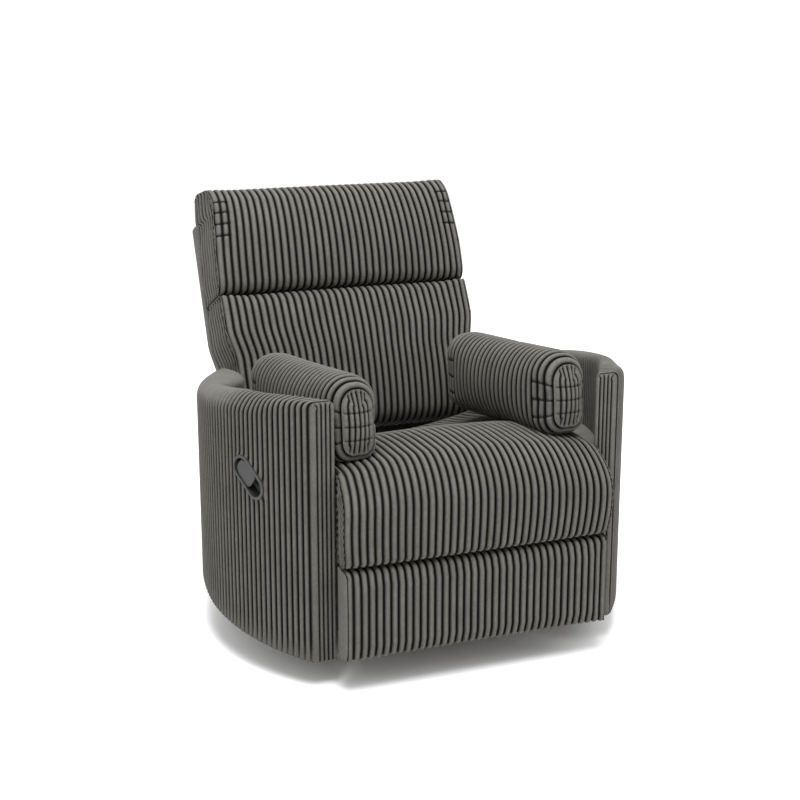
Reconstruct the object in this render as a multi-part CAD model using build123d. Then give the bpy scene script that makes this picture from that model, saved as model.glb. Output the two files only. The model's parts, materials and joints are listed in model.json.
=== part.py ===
from build123d import *
import math
import os

# Swivel glider recliner with curved arms. Millimetres, +Z up, floor at z = 0.
# The swivel axis is the Z axis. The front faces -Y. "left" is the -X side, as seen
# from the front, where the release handle is.

# ---------------------------------------------------------------- fits
RUN = 0.05            # radial clearance of a pin that turns in its hole
SOFT_GAP = 0.3        # clearance between a soft piece and its neighbour
SIDE_GAP = 1.0        # gap between links that pass each other
OPEN_PIVOT_GAP = 1.2  # radial clearance of the pivot where the footrest loop is opened

# ---------------------------------------------------------------- curved arms
ARM_CENTRE_Y = -152.0
ARM_OUTER_R = 487.0
ARM_WALL = 58.0
ARM_INNER_X = 291.0
ARM_FRONT_Y = -488.0
ARM_SPREAD_ANGLE = 15.7  # past the widest point, where the wall leaves the round plan
ARM_REAR_R = 1800.0      # flatter curve of the wall behind that point
ARM_REAR_Y = 290.0
ARM_TOP_FRONT_Z = 628.0
ARM_TOP_KNEE_Y = -288.0
ARM_TOP_KNEE_Z = 617.0
ARM_TOP_REAR_Z = 530.0
ARM_BOTTOM_FRONT_Z = 58.0
ARM_BOTTOM_MID_Y = -172.0
ARM_BOTTOM_MID_Z = 96.0
ARM_BOTTOM_REAR_Z = 180.0
ARM_REAR_CUT_Y = 150.0     # behind this the arm is narrower, beside the backrest
ARM_LEDGE_Z = 425.0
ARM_EDGE_R = 17.0
ARM_PAD = 20.0        # foam and fabric outside the wooden frame
ARM_BOARD = 15.0      # thickness of the wooden frame boards
ARM_SLOTS = 4            # lightening slots in the inner board
ARM_SLOT_PITCH = 150.0
ARM_SLOT_WIDTH = 90.0
ARM_SLOT_LOW_Z = 200.0
ARM_SLOT_HIGH_Z = 360.0

# ---------------------------------------------------------------- seat
SEAT_FRONT_Y = -561.0
SEAT_REAR_Y = 158.0
SEAT_HALF = 301.0
SEAT_LIP_Z = 281.0
SEAT_LIP_R = 20.0
SEAT_FRONT_TOP_Z = 499.0
SEAT_FRONT_R = 58.0
SEAT_CROWN_Y = -330.0
SEAT_CROWN_Z = 507.0
SEAT_TOP_R = 900.0
SEAT_REAR_TOP_Z = 441.0
SEAT_REAR_R = 38.0
SEAT_CROWN = 28.0        # the middle is higher than the sides by this much
SEAT_BOW = 7.0           # the front's middle stands ahead of its sides by this much
SEAT_SEAM_DRAW = 14.0    # the side seams are drawn in by this much

FRAME_FRONT_Y = -500.0
FRAME_REAR_Y = 120.0
FRAME_TOP_Z = 322.0
FRAME_LOW_Z = 262.0
FRAME_FRONT_LOW_Z = 288.0
FRAME_RAIL = 26.0
FRAME_BLOCK = 60.0
APRON_INSET = 14.0
APRON_DEPTH = 18.0
APRON_TOP_Z = 286.0
SPRING_COUNT = 5
SPRING_PITCH = 92.0
SPRING_WIRE = 4.0
SPRING_LOOPS = 9
SPRING_AMPLITUDE = 24.0
SPRING_BEND = 0.3        # share of a run that each bend takes

# ---------------------------------------------------------------- backrest
BACK_TILT = 24.0
BACK_Y = 389.4
BACK_Z = 498.0
BACK_HALF = 316.0
BACK_LOW_S = -165.0
BACK_SEAM_S = 150.0
BACK_TOP_S = 425.0
BACK_SKIN = 10.0
BACK_BOARD = 18.0
BACK_SIDE_GAP = 10.0     # between the backrest and the arms
BACK_CROWN = 16.0        # the middle is fuller than the sides by this much
BACK_FACE_DRAW = 9.0     # the front face is fuller than its ends by this much
BACK_FACE_R = 400.0
BACK_SEAM_DRAW = 12.0
LUMBAR_DEPTH = 215.0
LUMBAR_LOW_R = 70.0
LUMBAR_HIGH_R = 42.0
HEAD_DEPTH = 214.0
HEAD_LOW_R = 42.0
HEAD_HIGH_R = 84.0
SEAM_GAP = 3.0
BACK_PIVOT_Y = 235.0
BACK_PIVOT_Z = 300.0
BRACKET_PLATE = 4.0
BRACKET_WIDTH = 24.0
BRACKET_SLOT_DEPTH = 76.0
BRACKET_SLOT_HEIGHT = 136.0

# ---------------------------------------------------------------- swivel base
RING_R = 300.0
RING_WIDTH = 24.0
RING_HEIGHT = 20.0
RING_CHAMFER = 4.0
GLIDE_FOOT = 6.0
FOOT_COUNT = 6
FOOT_LENGTH = 44.0
FOOT_LIP = 3.0
SPIDER_WIDTH = 42.0
SPIDER_PLATE = 4.0
SPIDER_HUB_R = 82.0
SPIDER_RISE = 14.0
SPIDER_BORE_R = 24.0
RACE_R = 88.0
RACE_PLATE = 4.0
RACE_RING_R = 70.0
RACE_RING_W = 14.0
RACE_RING_H = 1.8
SPINDLE_R = 12.0
SPINDLE_NUT_R = 18.0
SPINDLE_NUT_H = 5.0
BOLT_R = 4.0
BOLT_HEAD_R = 7.0
BOLT_HEAD_H = 3.0
BOLT_CIRCLE_R = 48.0

# ---------------------------------------------------------------- glider
GLIDE_PIVOT_Z = 200.0
GLIDE_LENGTH = 135.0
GLIDE_PIVOT_Y = 180.0
TOWER_X = 192.0
TOWER_PLATE = 4.0
GLIDE_LINK = 5.0
GLIDE_LINK_HALF = 13.0
GLIDE_PIN_R = 6.0
TOWER_HALF = 17.0
TOWER_RAIL_H = 34.0
CROSSBAR_Y = 60.0
CROSSBAR_W = 40.0
CROSSBAR_H = 20.0
TUBE_WALL = 2.0

# ---------------------------------------------------------------- carrier rails and tubes
RAIL_LOW_Z = 222.0
RAIL_PLATE = 3.0
RAIL_OUTER_X = 240.0
RAIL_INNER_X = 203.0
RAIL_FRONT_Y = -382.0
RAIL_REAR_Y = 222.0
RAIL_HEIGHT = 28.0
HANGER_PLATE = 4.0
HANGER_HALF = 16.0
TUBE = 25.0
FRONT_TUBE_Y = -250.0
REAR_TUBE_Y = 80.0
SIDE_PLATE = 3.0

# ---------------------------------------------------------------- footrest
PAD_FRONT_Y = -555.0
PAD_HALF = 300.0
PAD_LOW_Z = 75.0
PAD_HIGH_Z = 276.0
PAD_DEPTH = 34.0
PAD_CORNER_R = 14.0
BOARD_DEPTH = 15.0
BOARD_INSET = 8.0
DRIVE_Y, DRIVE_Z = -432.4, 233.4          # drive link pivot on the side plate
KNEE_Y, KNEE_Z = -477.3, 59.5             # lower end of the drive link, closed
CROSS_Y, CROSS_Z = -467.4, 97.8           # pivot of the cross link on the drive link
FRONT_LINK_DY, FRONT_LINK_DZ = -15.95, 159.1
EAR_DY, EAR_DZ = 14.5, 1.45               # ear of the cross link, from its pivot
CONTROL_Y, CONTROL_Z = -395.9, 259.8      # control link pivot on the side plate
LINK = 4.0
LINK_HALF = 10.0
LINK_PIN_R = 4.0
LINK_HEAD_R = 7.0
LINK_HEAD_H = 2.0

# ---------------------------------------------------------------- release handle
HANDLE_ANGLE = 24.0     # from the arm's widest point towards the front
HANDLE_Z = 439.0
HANDLE_SLOPE = -40.0    # long axis falls towards the front
BEZEL_LENGTH = 108.0
BEZEL_WIDTH = 54.0
BEZEL_PROUD = 2.5
BEZEL_DEPTH = 5.0
BEZEL_RIM = 6.0
CUP_DEPTH = 40.0
CUP_WALL = 2.5
PADDLE_LENGTH = 56.0
PADDLE_HEEL = 1.0       # length of the lever behind its hinge line
PADDLE_THICK = 4.0
PADDLE_GAP = 1.5
PADDLE_CORNER_R = 12.0
PADDLE_HINGE_R = 5.0
PADDLE_PIN_R = 2.0
PADDLE_HINGE_DEPTH = 8.0

# ---------------------------------------------------------------- arm pillows
PILLOW_LENGTH = 470.0
PILLOW_HALF_W = 52.0
PILLOW_HEIGHT = 174.0
PILLOW_BULGE = 9.0
PILLOW_TOP_R = 30.0
PILLOW_EDGE_R = 40.0
PILLOW_SEAM_DRAW = 12.0
PILLOW_SLOPE = 5.3       # the front end is the higher one
PILLOW_TURN_LEFT = 4.6
PILLOW_TURN_RIGHT = 3.5
PILLOW_Y = -233.0
PILLOW_LEFT_X = -261.0
PILLOW_LEFT_Z = 452.0
PILLOW_RIGHT_X = 228.0
PILLOW_RIGHT_Z = 462.0


# ================================================================ helpers
def plate_yz(outline, x_low, thickness):
    """Flat plate: an outline drawn in (y, z), thickened along +X from x_low."""
    return Pos(x_low, 0, 0) * extrude(Plane.YZ * outline, amount=thickness)


def pin_x(y, z, radius, x_low, x_high):
    """Round pin along X."""
    return Pos(x_low, y, z) * Rot(0, 90, 0) * Cylinder(
        radius, x_high - x_low, align=(Align.CENTER, Align.CENTER, Align.MIN))


def box_between(x0, x1, y0, y1, z0, z1):
    """Box given by its limits."""
    size = Box(x1 - x0, y1 - y0, z1 - z0, align=Align.MIN)
    return Pos(x0, y0, z0) * size


def bar_outline(y0, z0, y1, z1, half):
    """Link outline with round ends, drawn in (y, z)."""
    length = math.hypot(y1 - y0, z1 - z0)
    angle = math.degrees(math.atan2(z1 - z0, y1 - y0))
    middle = Pos((y0 + y1) / 2, (z0 + z1) / 2)
    return middle * Rot(0, 0, angle) * SlotCenterToCenter(length, 2 * half)


def round_hole(y, z, radius):
    """Hole outline in (y, z)."""
    return Pos(y, z) * Circle(radius)


def mirrored(part):
    """The same piece on the other side."""
    return mirror(part, about=Plane.YZ)


def pair(part):
    """A piece and its mirror image, as separate solids."""
    return Part() + [part, mirrored(part)]


def rounded_outline(corners):
    """Face drawn in (a, b) from corners (a, b, radius), each round with its radius."""
    edges = []
    last_end = None
    count = len(corners)
    for number, (a, b, radius) in enumerate(corners):
        here = Vector(a, b)
        behind = (Vector(*corners[number - 1][:2]) - here).normalized()
        ahead = (Vector(*corners[(number + 1) % count][:2]) - here).normalized()
        half = math.radians(behind.get_angle(ahead)) / 2
        middle = (behind + ahead).normalized()
        start = here + behind * (radius / math.tan(half))
        end = here + ahead * (radius / math.tan(half))
        if last_end is None:
            first_start = start
        else:
            edges.append(Line(last_end, start))
        if radius > 0:
            edges.append(ThreePointArc(start, here + middle * radius * (1 / math.sin(half) - 1), end))
        last_end = end
    edges.append(Line(last_end, first_start))
    return make_face(Curve() + edges)


def across(x, outline):
    """Puts an outline drawn in (y, z) at x."""
    return Plane(origin=(x, 0, 0), x_dir=(0, 1, 0), z_dir=(1, 0, 0)) * outline


def save(node, part):
    """Writes one node."""
    export_step(part, os.path.join("parts", node + ".step"))


# ================================================================ swivel base
RING_LOW_Z = GLIDE_FOOT
RING_TOP_Z = RING_LOW_Z + RING_HEIGHT
SPIDER_TOP_Z = RING_TOP_Z + SPIDER_RISE + SPIDER_PLATE
RACE_TOP_Z = SPIDER_TOP_Z + RACE_PLATE
TURN_LOW_Z = RACE_TOP_Z + RACE_RING_H + 0.2
TURN_TOP_Z = TURN_LOW_Z + RACE_PLATE
BOLT_ANGLES = [45 + 90 * turn for turn in range(4)]


def floor_ring():
    """Closed ring of rolled tube."""
    section = Pos(RING_R, RING_LOW_Z + RING_HEIGHT / 2) * Rectangle(RING_WIDTH, RING_HEIGHT)
    section = chamfer(section.vertices(), RING_CHAMFER)
    return revolve(Plane.XZ * section, Axis.Z)


def floor_feet():
    """Plastic feet clipped round the lower half of the ring."""
    feet = []
    half = RING_WIDTH / 2 + FOOT_LIP
    for turn in range(FOOT_COUNT):
        block = box_between(RING_R - half, RING_R + half, -FOOT_LENGTH / 2, FOOT_LENGTH / 2,
                            0, RING_LOW_Z + RING_HEIGHT / 2)
        block = chamfer(block.edges().filter_by(Axis.Z), FOOT_LIP)
        feet.append(Rot(0, 0, turn * 360 / FOOT_COUNT + 30) * (block - floor_ring()))
    return Part() + feet


def spider_arm():
    """One pressed arm: foot on the ring, ramp, and flat part under the bearing."""
    t = SPIDER_PLATE
    foot_in = RING_R - RING_WIDTH / 2 - 8
    foot_out = RING_R + RING_WIDTH / 2 - RING_CHAMFER
    ramp_in = foot_in - 70
    low = RING_TOP_Z
    high = SPIDER_TOP_Z - t
    side = Polyline((0, high), (ramp_in, high), (foot_in, low), (foot_out, low),
                    (foot_out, low + t), (foot_in + t / 2, low + t), (ramp_in + t / 2, high + t),
                    (0, high + t), close=True)
    strip = extrude(Plane.XZ * make_face(side), amount=SPIDER_WIDTH / 2, both=True)
    lip_side = Polyline((SPIDER_HUB_R - 4, high), (ramp_in, high), (foot_in - 4, low + 2),
                        (foot_in - 4, low + 1), (ramp_in - 20, high - 10),
                        (SPIDER_HUB_R - 4, high - 10), close=True)
    lip = extrude(Plane.XZ * make_face(lip_side), amount=-2.5)
    lips = [Pos(0, SPIDER_WIDTH / 2 - 2.5, 0) * lip, Pos(0, -SPIDER_WIDTH / 2, 0) * lip]
    return strip + lips


def base_spider():
    """Pressed cross with the bearing seat in the middle."""
    hub = Pos(0, 0, SPIDER_TOP_Z - SPIDER_PLATE) * Cylinder(
        SPIDER_HUB_R, SPIDER_PLATE, align=(Align.CENTER, Align.CENTER, Align.MIN))
    spider = hub + [Rot(0, 0, angle) * spider_arm() for angle in BOLT_ANGLES]
    spider -= Pos(0, 0, SPIDER_TOP_Z) * Cylinder(SPIDER_BORE_R, 6 * SPIDER_PLATE)
    for angle in BOLT_ANGLES:
        spider -= Rot(0, 0, angle + 45) * Pos(BOLT_CIRCLE_R, 0, SPIDER_TOP_Z) * Cylinder(
            BOLT_R, 6 * SPIDER_PLATE)
    return spider


def lower_race():
    """Fixed race plate with the bearing ring seat and the spindle bore."""
    low = (Align.CENTER, Align.CENTER, Align.MIN)
    plate = Pos(0, 0, SPIDER_TOP_Z) * Cylinder(RACE_R, RACE_PLATE, align=low)
    plate -= Pos(0, 0, SPIDER_TOP_Z) * Cylinder(SPINDLE_R + RUN, 4 * RACE_PLATE)
    for angle in BOLT_ANGLES:
        plate -= Rot(0, 0, angle + 45) * Pos(BOLT_CIRCLE_R, 0, SPIDER_TOP_Z) * Cylinder(
            BOLT_R, 4 * RACE_PLATE)
    return plate


def bearing_ring():
    """Plastic bearing ring on the lower race."""
    low = (Align.CENTER, Align.CENTER, Align.MIN)
    ring = Cylinder(RACE_RING_R + RACE_RING_W / 2, RACE_RING_H, align=low)
    ring -= Cylinder(RACE_RING_R - RACE_RING_W / 2, 4 * RACE_RING_H)
    return Pos(0, 0, RACE_TOP_Z) * ring


def spider_bolts():
    """Four bolts, head down, that hold the lower race to the spider."""
    low = (Align.CENTER, Align.CENTER, Align.MIN)
    under = SPIDER_TOP_Z - SPIDER_PLATE
    bolt = Pos(0, 0, under) * Cylinder(BOLT_R, RACE_TOP_Z - under, align=low)
    bolt += Pos(0, 0, under - BOLT_HEAD_H) * extrude(
        RegularPolygon(BOLT_HEAD_R, 6), amount=BOLT_HEAD_H)
    return Part() + [Rot(0, 0, a + 45) * Pos(BOLT_CIRCLE_R, 0, 0) * bolt for a in BOLT_ANGLES]


# ================================================================ turning glider frame
def upper_race():
    """Turning race plate with its spindle and retaining nut."""
    low = (Align.CENTER, Align.CENTER, Align.MIN)
    plate = Pos(0, 0, TURN_LOW_Z) * Cylinder(RACE_R, RACE_PLATE, align=low)
    nut_top = SPIDER_TOP_Z - 0.2
    plate += Pos(0, 0, nut_top) * Cylinder(SPINDLE_R, TURN_LOW_Z - nut_top, align=low)
    plate += Pos(0, 0, nut_top - SPINDLE_NUT_H) * extrude(
        RegularPolygon(SPINDLE_NUT_R, 6), amount=SPINDLE_NUT_H)
    return plate


def tower_plate():
    """Right-hand pressed side plate: base rail, two upright towers and a foot flange."""
    low = TURN_TOP_Z
    rail_top = low + TOWER_RAIL_H
    reach = GLIDE_PIVOT_Y + TOWER_HALF + 22
    outline = Pos(0, low + TOWER_RAIL_H / 2) * Rectangle(2 * reach, TOWER_RAIL_H)
    for side in (-1, 1):
        centre = side * GLIDE_PIVOT_Y
        tower = Polyline((centre - TOWER_HALF - 22, low), (centre + TOWER_HALF + 22, low),
                         (centre + TOWER_HALF, GLIDE_PIVOT_Z), (centre - TOWER_HALF, GLIDE_PIVOT_Z),
                         close=True)
        outline += make_face(tower)
        outline += round_hole(centre, GLIDE_PIVOT_Z, TOWER_HALF)
        outline -= Pos(centre, (rail_top + GLIDE_PIVOT_Z) / 2 - 6) * SlotOverall(
            60, 16, rotation=90)
        outline -= round_hole(centre, GLIDE_PIVOT_Z, GLIDE_PIN_R)
    plate = plate_yz(outline, TOWER_X, TOWER_PLATE)
    flange = box_between(TOWER_X - 20, TOWER_X, -reach, reach, low, low + TOWER_PLATE)
    return plate + flange


def crossbars():
    """Two rectangular tubes on the race, welded to both side plates."""
    bars = []
    for side in (-1, 1):
        y = side * CROSSBAR_Y
        half = TOWER_X - 20
        low = TURN_TOP_Z
        tube = box_between(-half, half, y - CROSSBAR_W / 2, y + CROSSBAR_W / 2,
                           low, low + CROSSBAR_H)
        bore = box_between(-half - 1, half + 1, y - CROSSBAR_W / 2 + TUBE_WALL,
                           y + CROSSBAR_W / 2 - TUBE_WALL,
                           low + TUBE_WALL, low + CROSSBAR_H - TUBE_WALL)
        bars.append(tube - bore)
    return Part() + bars


def upper_glide_pins():
    """Pins that are fixed in the towers and carry the links."""
    x_out = TOWER_X + TOWER_PLATE + SIDE_GAP + GLIDE_LINK
    pins = []
    for side in (-1, 1):
        y = side * GLIDE_PIVOT_Y
        pin = pin_x(y, GLIDE_PIVOT_Z, GLIDE_PIN_R, TOWER_X, x_out)
        pin += pin_x(y, GLIDE_PIVOT_Z, GLIDE_PIN_R + 4, TOWER_X - 4, TOWER_X)
        pins += [pin, mirrored(pin)]
    return Part() + pins


# ================================================================ glide links
LINK_X = TOWER_X + TOWER_PLATE + SIDE_GAP
LOW_PIVOT_Z = GLIDE_PIVOT_Z - GLIDE_LENGTH


def glide_link(y):
    """Right-hand hanging link with a lightening hole and two bearing bores."""
    outline = bar_outline(y, GLIDE_PIVOT_Z, y, LOW_PIVOT_Z, GLIDE_LINK_HALF)
    outline -= round_hole(y, GLIDE_PIVOT_Z, GLIDE_PIN_R + RUN)
    outline -= round_hole(y, LOW_PIVOT_Z, GLIDE_PIN_R + RUN)
    outline -= Pos(y, (GLIDE_PIVOT_Z + LOW_PIVOT_Z) / 2) * SlotOverall(60, 9, rotation=90)
    return plate_yz(outline, LINK_X, GLIDE_LINK)


# ================================================================ carrier
HANGER_X = LINK_X + GLIDE_LINK + SIDE_GAP


def carrier_rail():
    """Right-hand angle rail with two hanger plates for the lower glide pivots."""
    low = RAIL_LOW_Z
    flange = box_between(RAIL_INNER_X, RAIL_OUTER_X, RAIL_FRONT_Y, RAIL_REAR_Y,
                         low, low + RAIL_PLATE)
    web = box_between(RAIL_OUTER_X - RAIL_PLATE, RAIL_OUTER_X, RAIL_FRONT_Y, RAIL_REAR_Y,
                      low, low + RAIL_HEIGHT)
    rail = flange + web
    for side in (-1, 1):
        y = side * GLIDE_PIVOT_Y
        outline = make_face(Polyline(
            (y - 34, low), (y + 34, low), (y + HANGER_HALF, LOW_PIVOT_Z),
            (y - HANGER_HALF, LOW_PIVOT_Z), close=True))
        outline += round_hole(y, LOW_PIVOT_Z, HANGER_HALF)
        outline -= Pos(y, (low + LOW_PIVOT_Z) / 2 + 14) * SlotOverall(70, 18, rotation=90)
        outline -= round_hole(y, LOW_PIVOT_Z, GLIDE_PIN_R)
        rail += plate_yz(outline, HANGER_X, HANGER_PLATE)
    return rail


def lower_glide_pins():
    """Pins that are fixed in the hanger plates and run in the links' lower bores."""
    pins = []
    for side in (-1, 1):
        y = side * GLIDE_PIVOT_Y
        pin = pin_x(y, LOW_PIVOT_Z, GLIDE_PIN_R, LINK_X, HANGER_X + HANGER_PLATE)
        pin += pin_x(y, LOW_PIVOT_Z, GLIDE_PIN_R + 4, HANGER_X + HANGER_PLATE,
                     HANGER_X + HANGER_PLATE + 4)
        pins += [pin, mirrored(pin)]
    return Part() + pins


def cross_tube(y):
    """Square tube between the two rails, on their flanges."""
    half = RAIL_OUTER_X - RAIL_PLATE
    low = RAIL_LOW_Z + RAIL_PLATE
    tube = box_between(-half, half, y - TUBE / 2, y + TUBE / 2, low, low + TUBE)
    bore = box_between(-half - 1, half + 1, y - TUBE / 2 + TUBE_WALL, y + TUBE / 2 - TUBE_WALL,
                       low + TUBE_WALL, low + TUBE - TUBE_WALL)
    return tube - bore


def side_plate():
    """Right-hand mechanism plate: footrest pivots in front, backrest pivot behind."""
    low = RAIL_LOW_Z + 4
    top = FRAME_FRONT_LOW_Z
    outline = make_face(Polyline(
        (DRIVE_Y - 14, low), (RAIL_REAR_Y, low), (BACK_PIVOT_Y + 16, BACK_PIVOT_Z - 16),
        (BACK_PIVOT_Y + 16, BACK_PIVOT_Z + 16), (BACK_PIVOT_Y - 30, BACK_PIVOT_Z + 18),
        (FRAME_REAR_Y + 20, top), (DRIVE_Y + 10, top), (DRIVE_Y - 16, DRIVE_Z + 18),
        close=True))
    outline = fillet(outline.vertices(), 7)
    for y, length in ((-290, 110), (-140, 110), (10, 110)):
        outline -= Pos(y, (low + top) / 2 + 8) * SlotOverall(length, 24)
    outline -= round_hole(DRIVE_Y, DRIVE_Z, LINK_PIN_R)
    outline -= round_hole(CONTROL_Y, CONTROL_Z, LINK_PIN_R)
    outline -= round_hole(BACK_PIVOT_Y, BACK_PIVOT_Z, GLIDE_PIN_R)
    return plate_yz(outline, RAIL_OUTER_X, SIDE_PLATE)


def side_plate_pins():
    """Footrest and backrest pivot pins, fixed in the side plates."""
    out = RAIL_OUTER_X + SIDE_PLATE
    drive = pin_x(DRIVE_Y, DRIVE_Z, LINK_PIN_R, DRIVE_X, out)
    drive += pin_x(DRIVE_Y, DRIVE_Z, LINK_HEAD_R, DRIVE_X - 0.3 - LINK_HEAD_H, DRIVE_X - 0.3)
    drive += pin_x(DRIVE_Y, DRIVE_Z, LINK_PIN_R, DRIVE_X - 0.3, DRIVE_X)
    control = pin_x(CONTROL_Y, CONTROL_Z, LINK_PIN_R, CONTROL_X - 0.3, out)
    control += pin_x(CONTROL_Y, CONTROL_Z, LINK_HEAD_R,
                     CONTROL_X - 0.3 - LINK_HEAD_H, CONTROL_X - 0.3)
    back = pin_x(BACK_PIVOT_Y, BACK_PIVOT_Z, GLIDE_PIN_R, BRACKET_X - 0.3, out)
    back += pin_x(BACK_PIVOT_Y, BACK_PIVOT_Z, GLIDE_PIN_R + 4, BRACKET_X - 3.3, BRACKET_X - 0.3)
    return Part() + [piece for pin in (drive, control, back) for piece in (pin, mirrored(pin))]


# layers of the footrest links, from the side plate inwards
FRONT_X = RAIL_OUTER_X
DRIVE_X = FRONT_X - SIDE_GAP - LINK
CROSS_X = DRIVE_X - SIDE_GAP - LINK
CONTROL_X = CROSS_X - SIDE_GAP - LINK
BRACKET_X = RAIL_OUTER_X - SIDE_GAP - BRACKET_PLATE


def seat_frame():
    """Wooden seat box with corner and middle blocks that the arms are bolted to."""
    x_in = RAIL_OUTER_X + SIDE_PLATE
    x_out = ARM_INNER_X - SOFT_GAP
    frame = Part()
    for side in (-1, 1):
        board = box_between(x_in, x_in + FRAME_RAIL, FRAME_FRONT_Y, FRAME_REAR_Y,
                            FRAME_LOW_Z, FRAME_TOP_Z)
        board = chamfer(board.edges().filter_by(Axis.X).group_by(Axis.Y)[0].group_by(Axis.Z)[0],
                        FRAME_FRONT_LOW_Z - FRAME_LOW_Z)
        for y in (FRAME_FRONT_Y + FRAME_BLOCK, -190, FRAME_REAR_Y - FRAME_BLOCK):
            board += box_between(x_in, x_out, y - FRAME_BLOCK / 2, y + FRAME_BLOCK / 2,
                                 FRAME_LOW_Z + 10, FRAME_TOP_Z)
        frame += board if side > 0 else mirrored(board)
    for y in (FRAME_FRONT_Y, FRAME_REAR_Y - FRAME_RAIL):
        frame += box_between(-x_in, x_in, y, y + FRAME_RAIL, FRAME_FRONT_LOW_Z, FRAME_TOP_Z)
    return frame


def seat_spring(x):
    """One sinuous spring, flat on the frame rails, as a zigzag with bevelled bends."""
    start = FRAME_FRONT_Y + FRAME_RAIL / 2
    end = FRAME_REAR_Y - FRAME_RAIL / 2
    step = (end - start) / (2 * SPRING_LOOPS)
    bevel = step * SPRING_BEND
    corners = [(x, start)]
    for turn in range(2 * SPRING_LOOPS):
        side = SPRING_AMPLITUDE if turn % 2 else -SPRING_AMPLITUDE
        inner = x + side - math.copysign(bevel, side)
        near = start + turn * step
        corners += [(inner, near), (x + side, near + bevel), (x + side, near + step - bevel),
                    (inner, near + step)]
    corners.append((x, end))
    wire = Pos(0, 0, FRAME_TOP_Z + SPRING_WIRE / 2) * Polyline(*corners)
    section = Plane(origin=wire @ 0, z_dir=wire % 0) * Rectangle(SPRING_WIRE, SPRING_WIRE)
    return sweep(section, path=wire, transition=Transition.RIGHT)


def seat_springs():
    """All sinuous springs."""
    first = -(SPRING_COUNT - 1) / 2 * SPRING_PITCH
    return Part() + [seat_spring(first + i * SPRING_PITCH) for i in range(SPRING_COUNT)]


# stations across a cushion, as shares of its half width and of its seam's draw
CROWN_STATIONS = ((-1.0, 1.0), (-0.96, 0.3), (-0.85, 0.0), (-0.45, 0.0), (0.0, 0.0),
                  (0.45, 0.0), (0.85, 0.0), (0.96, 0.3), (1.0, 1.0))


def seat_profile(x, draw):
    """Side view of the seat at x: round lip, waterfall front, crown and round rear."""
    share = (x / SEAT_HALF) ** 2
    fall = SEAT_CROWN * share + draw
    front = SEAT_FRONT_Y + SEAT_BOW * share + draw
    rear = SEAT_REAR_Y - draw
    return across(x, rounded_outline((
        (rear, SEAT_LIP_Z, 0), (front, SEAT_LIP_Z, SEAT_LIP_R),
        (front, SEAT_FRONT_TOP_Z - fall, SEAT_FRONT_R),
        (SEAT_CROWN_Y, SEAT_CROWN_Z - fall, SEAT_TOP_R),
        (rear, SEAT_REAR_TOP_Z - fall, SEAT_REAR_R))))


def seat_cushion():
    """Crowned cushion with a waterfall front that hangs over the front rail."""
    cushion = loft([seat_profile(share * SEAT_HALF, draw * SEAT_SEAM_DRAW)
                    for share, draw in CROWN_STATIONS], ruled=True)
    cushion -= box_between(-ARM_OUTER_R, ARM_OUTER_R, FRAME_FRONT_Y - SOFT_GAP, ARM_REAR_Y,
                           0, FRAME_TOP_Z + SPRING_WIRE + SOFT_GAP)
    between = box_between(ARM_INNER_X - SOFT_GAP, ARM_OUTER_R, ARM_FRONT_Y - SOFT_GAP, ARM_REAR_Y,
                          0, ARM_TOP_FRONT_Z)
    return cushion - between - mirrored(between)


ARM_REAR_X = BACK_HALF + BACK_SIDE_GAP


def rear_apron():
    """Upholstered panel that closes the seat box between the arms' rear ends."""
    half = ARM_REAR_X - SOFT_GAP
    y = ARM_REAR_Y - APRON_INSET
    panel = box_between(-half, half, y - APRON_DEPTH, y, ARM_BOTTOM_REAR_Z - 5, APRON_TOP_Z)
    return fillet(panel.edges().filter_by(Axis.X), 6)


# ================================================================ arms
def arm_side_profile(inset):
    """Side view of the arm: rising bottom edge and a top that falls to the rear."""
    slope = (ARM_TOP_KNEE_Z - ARM_TOP_REAR_Z) / (ARM_REAR_Y - ARM_TOP_KNEE_Y)
    past = 200.0
    outline = Polyline(
        (ARM_FRONT_Y - past, ARM_BOTTOM_FRONT_Z + inset),
        (ARM_FRONT_Y, ARM_BOTTOM_FRONT_Z + inset),
        (ARM_BOTTOM_MID_Y, ARM_BOTTOM_MID_Z + inset),
        (ARM_REAR_Y, ARM_BOTTOM_REAR_Z + inset),
        (ARM_REAR_Y + past, ARM_BOTTOM_REAR_Z + inset),
        (ARM_REAR_Y + past, ARM_TOP_REAR_Z - slope * past - inset),
        (ARM_TOP_KNEE_Y, ARM_TOP_KNEE_Z - inset),
        (ARM_FRONT_Y, ARM_TOP_FRONT_Z - inset),
        (ARM_FRONT_Y - past, ARM_TOP_FRONT_Z - inset), close=True)
    return make_face(outline)


def barrel_plan(draw_in):
    """Round plan whose wall runs on along a flatter curve behind the widest point."""
    angle = math.radians(ARM_SPREAD_ANGLE)
    shift = ARM_REAR_R - ARM_OUTER_R
    rear_centre = Pos(-shift * math.cos(angle), -shift * math.sin(angle))
    behind = Rot(0, 0, ARM_SPREAD_ANGLE) * Rectangle(
        3 * ARM_REAR_R, 2 * ARM_REAR_R, align=(Align.CENTER, Align.MIN))
    front = Circle(ARM_OUTER_R - draw_in) - behind
    rear = (rear_centre * Circle(ARM_REAR_R - draw_in)) & behind
    return Pos(0, ARM_CENTRE_Y) * (front + rear)


def arm_plan(inset, shelf):
    """Right-hand arm seen from above. A shelf fills the space in to the seat box."""
    plan = barrel_plan(inset)
    if not shelf:
        plan -= barrel_plan(ARM_WALL - inset)
    inner_x = ARM_INNER_X + inset
    front = ARM_FRONT_Y + inset
    rear = ARM_REAR_Y - inset
    keep = Pos(inner_x, front) * Rectangle(ARM_OUTER_R, rear - front, align=Align.MIN)
    keep -= Pos(0, ARM_REAR_CUT_Y) * Rectangle(
        ARM_REAR_X + inset, ARM_OUTER_R, align=Align.MIN)
    return plan & keep


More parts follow.
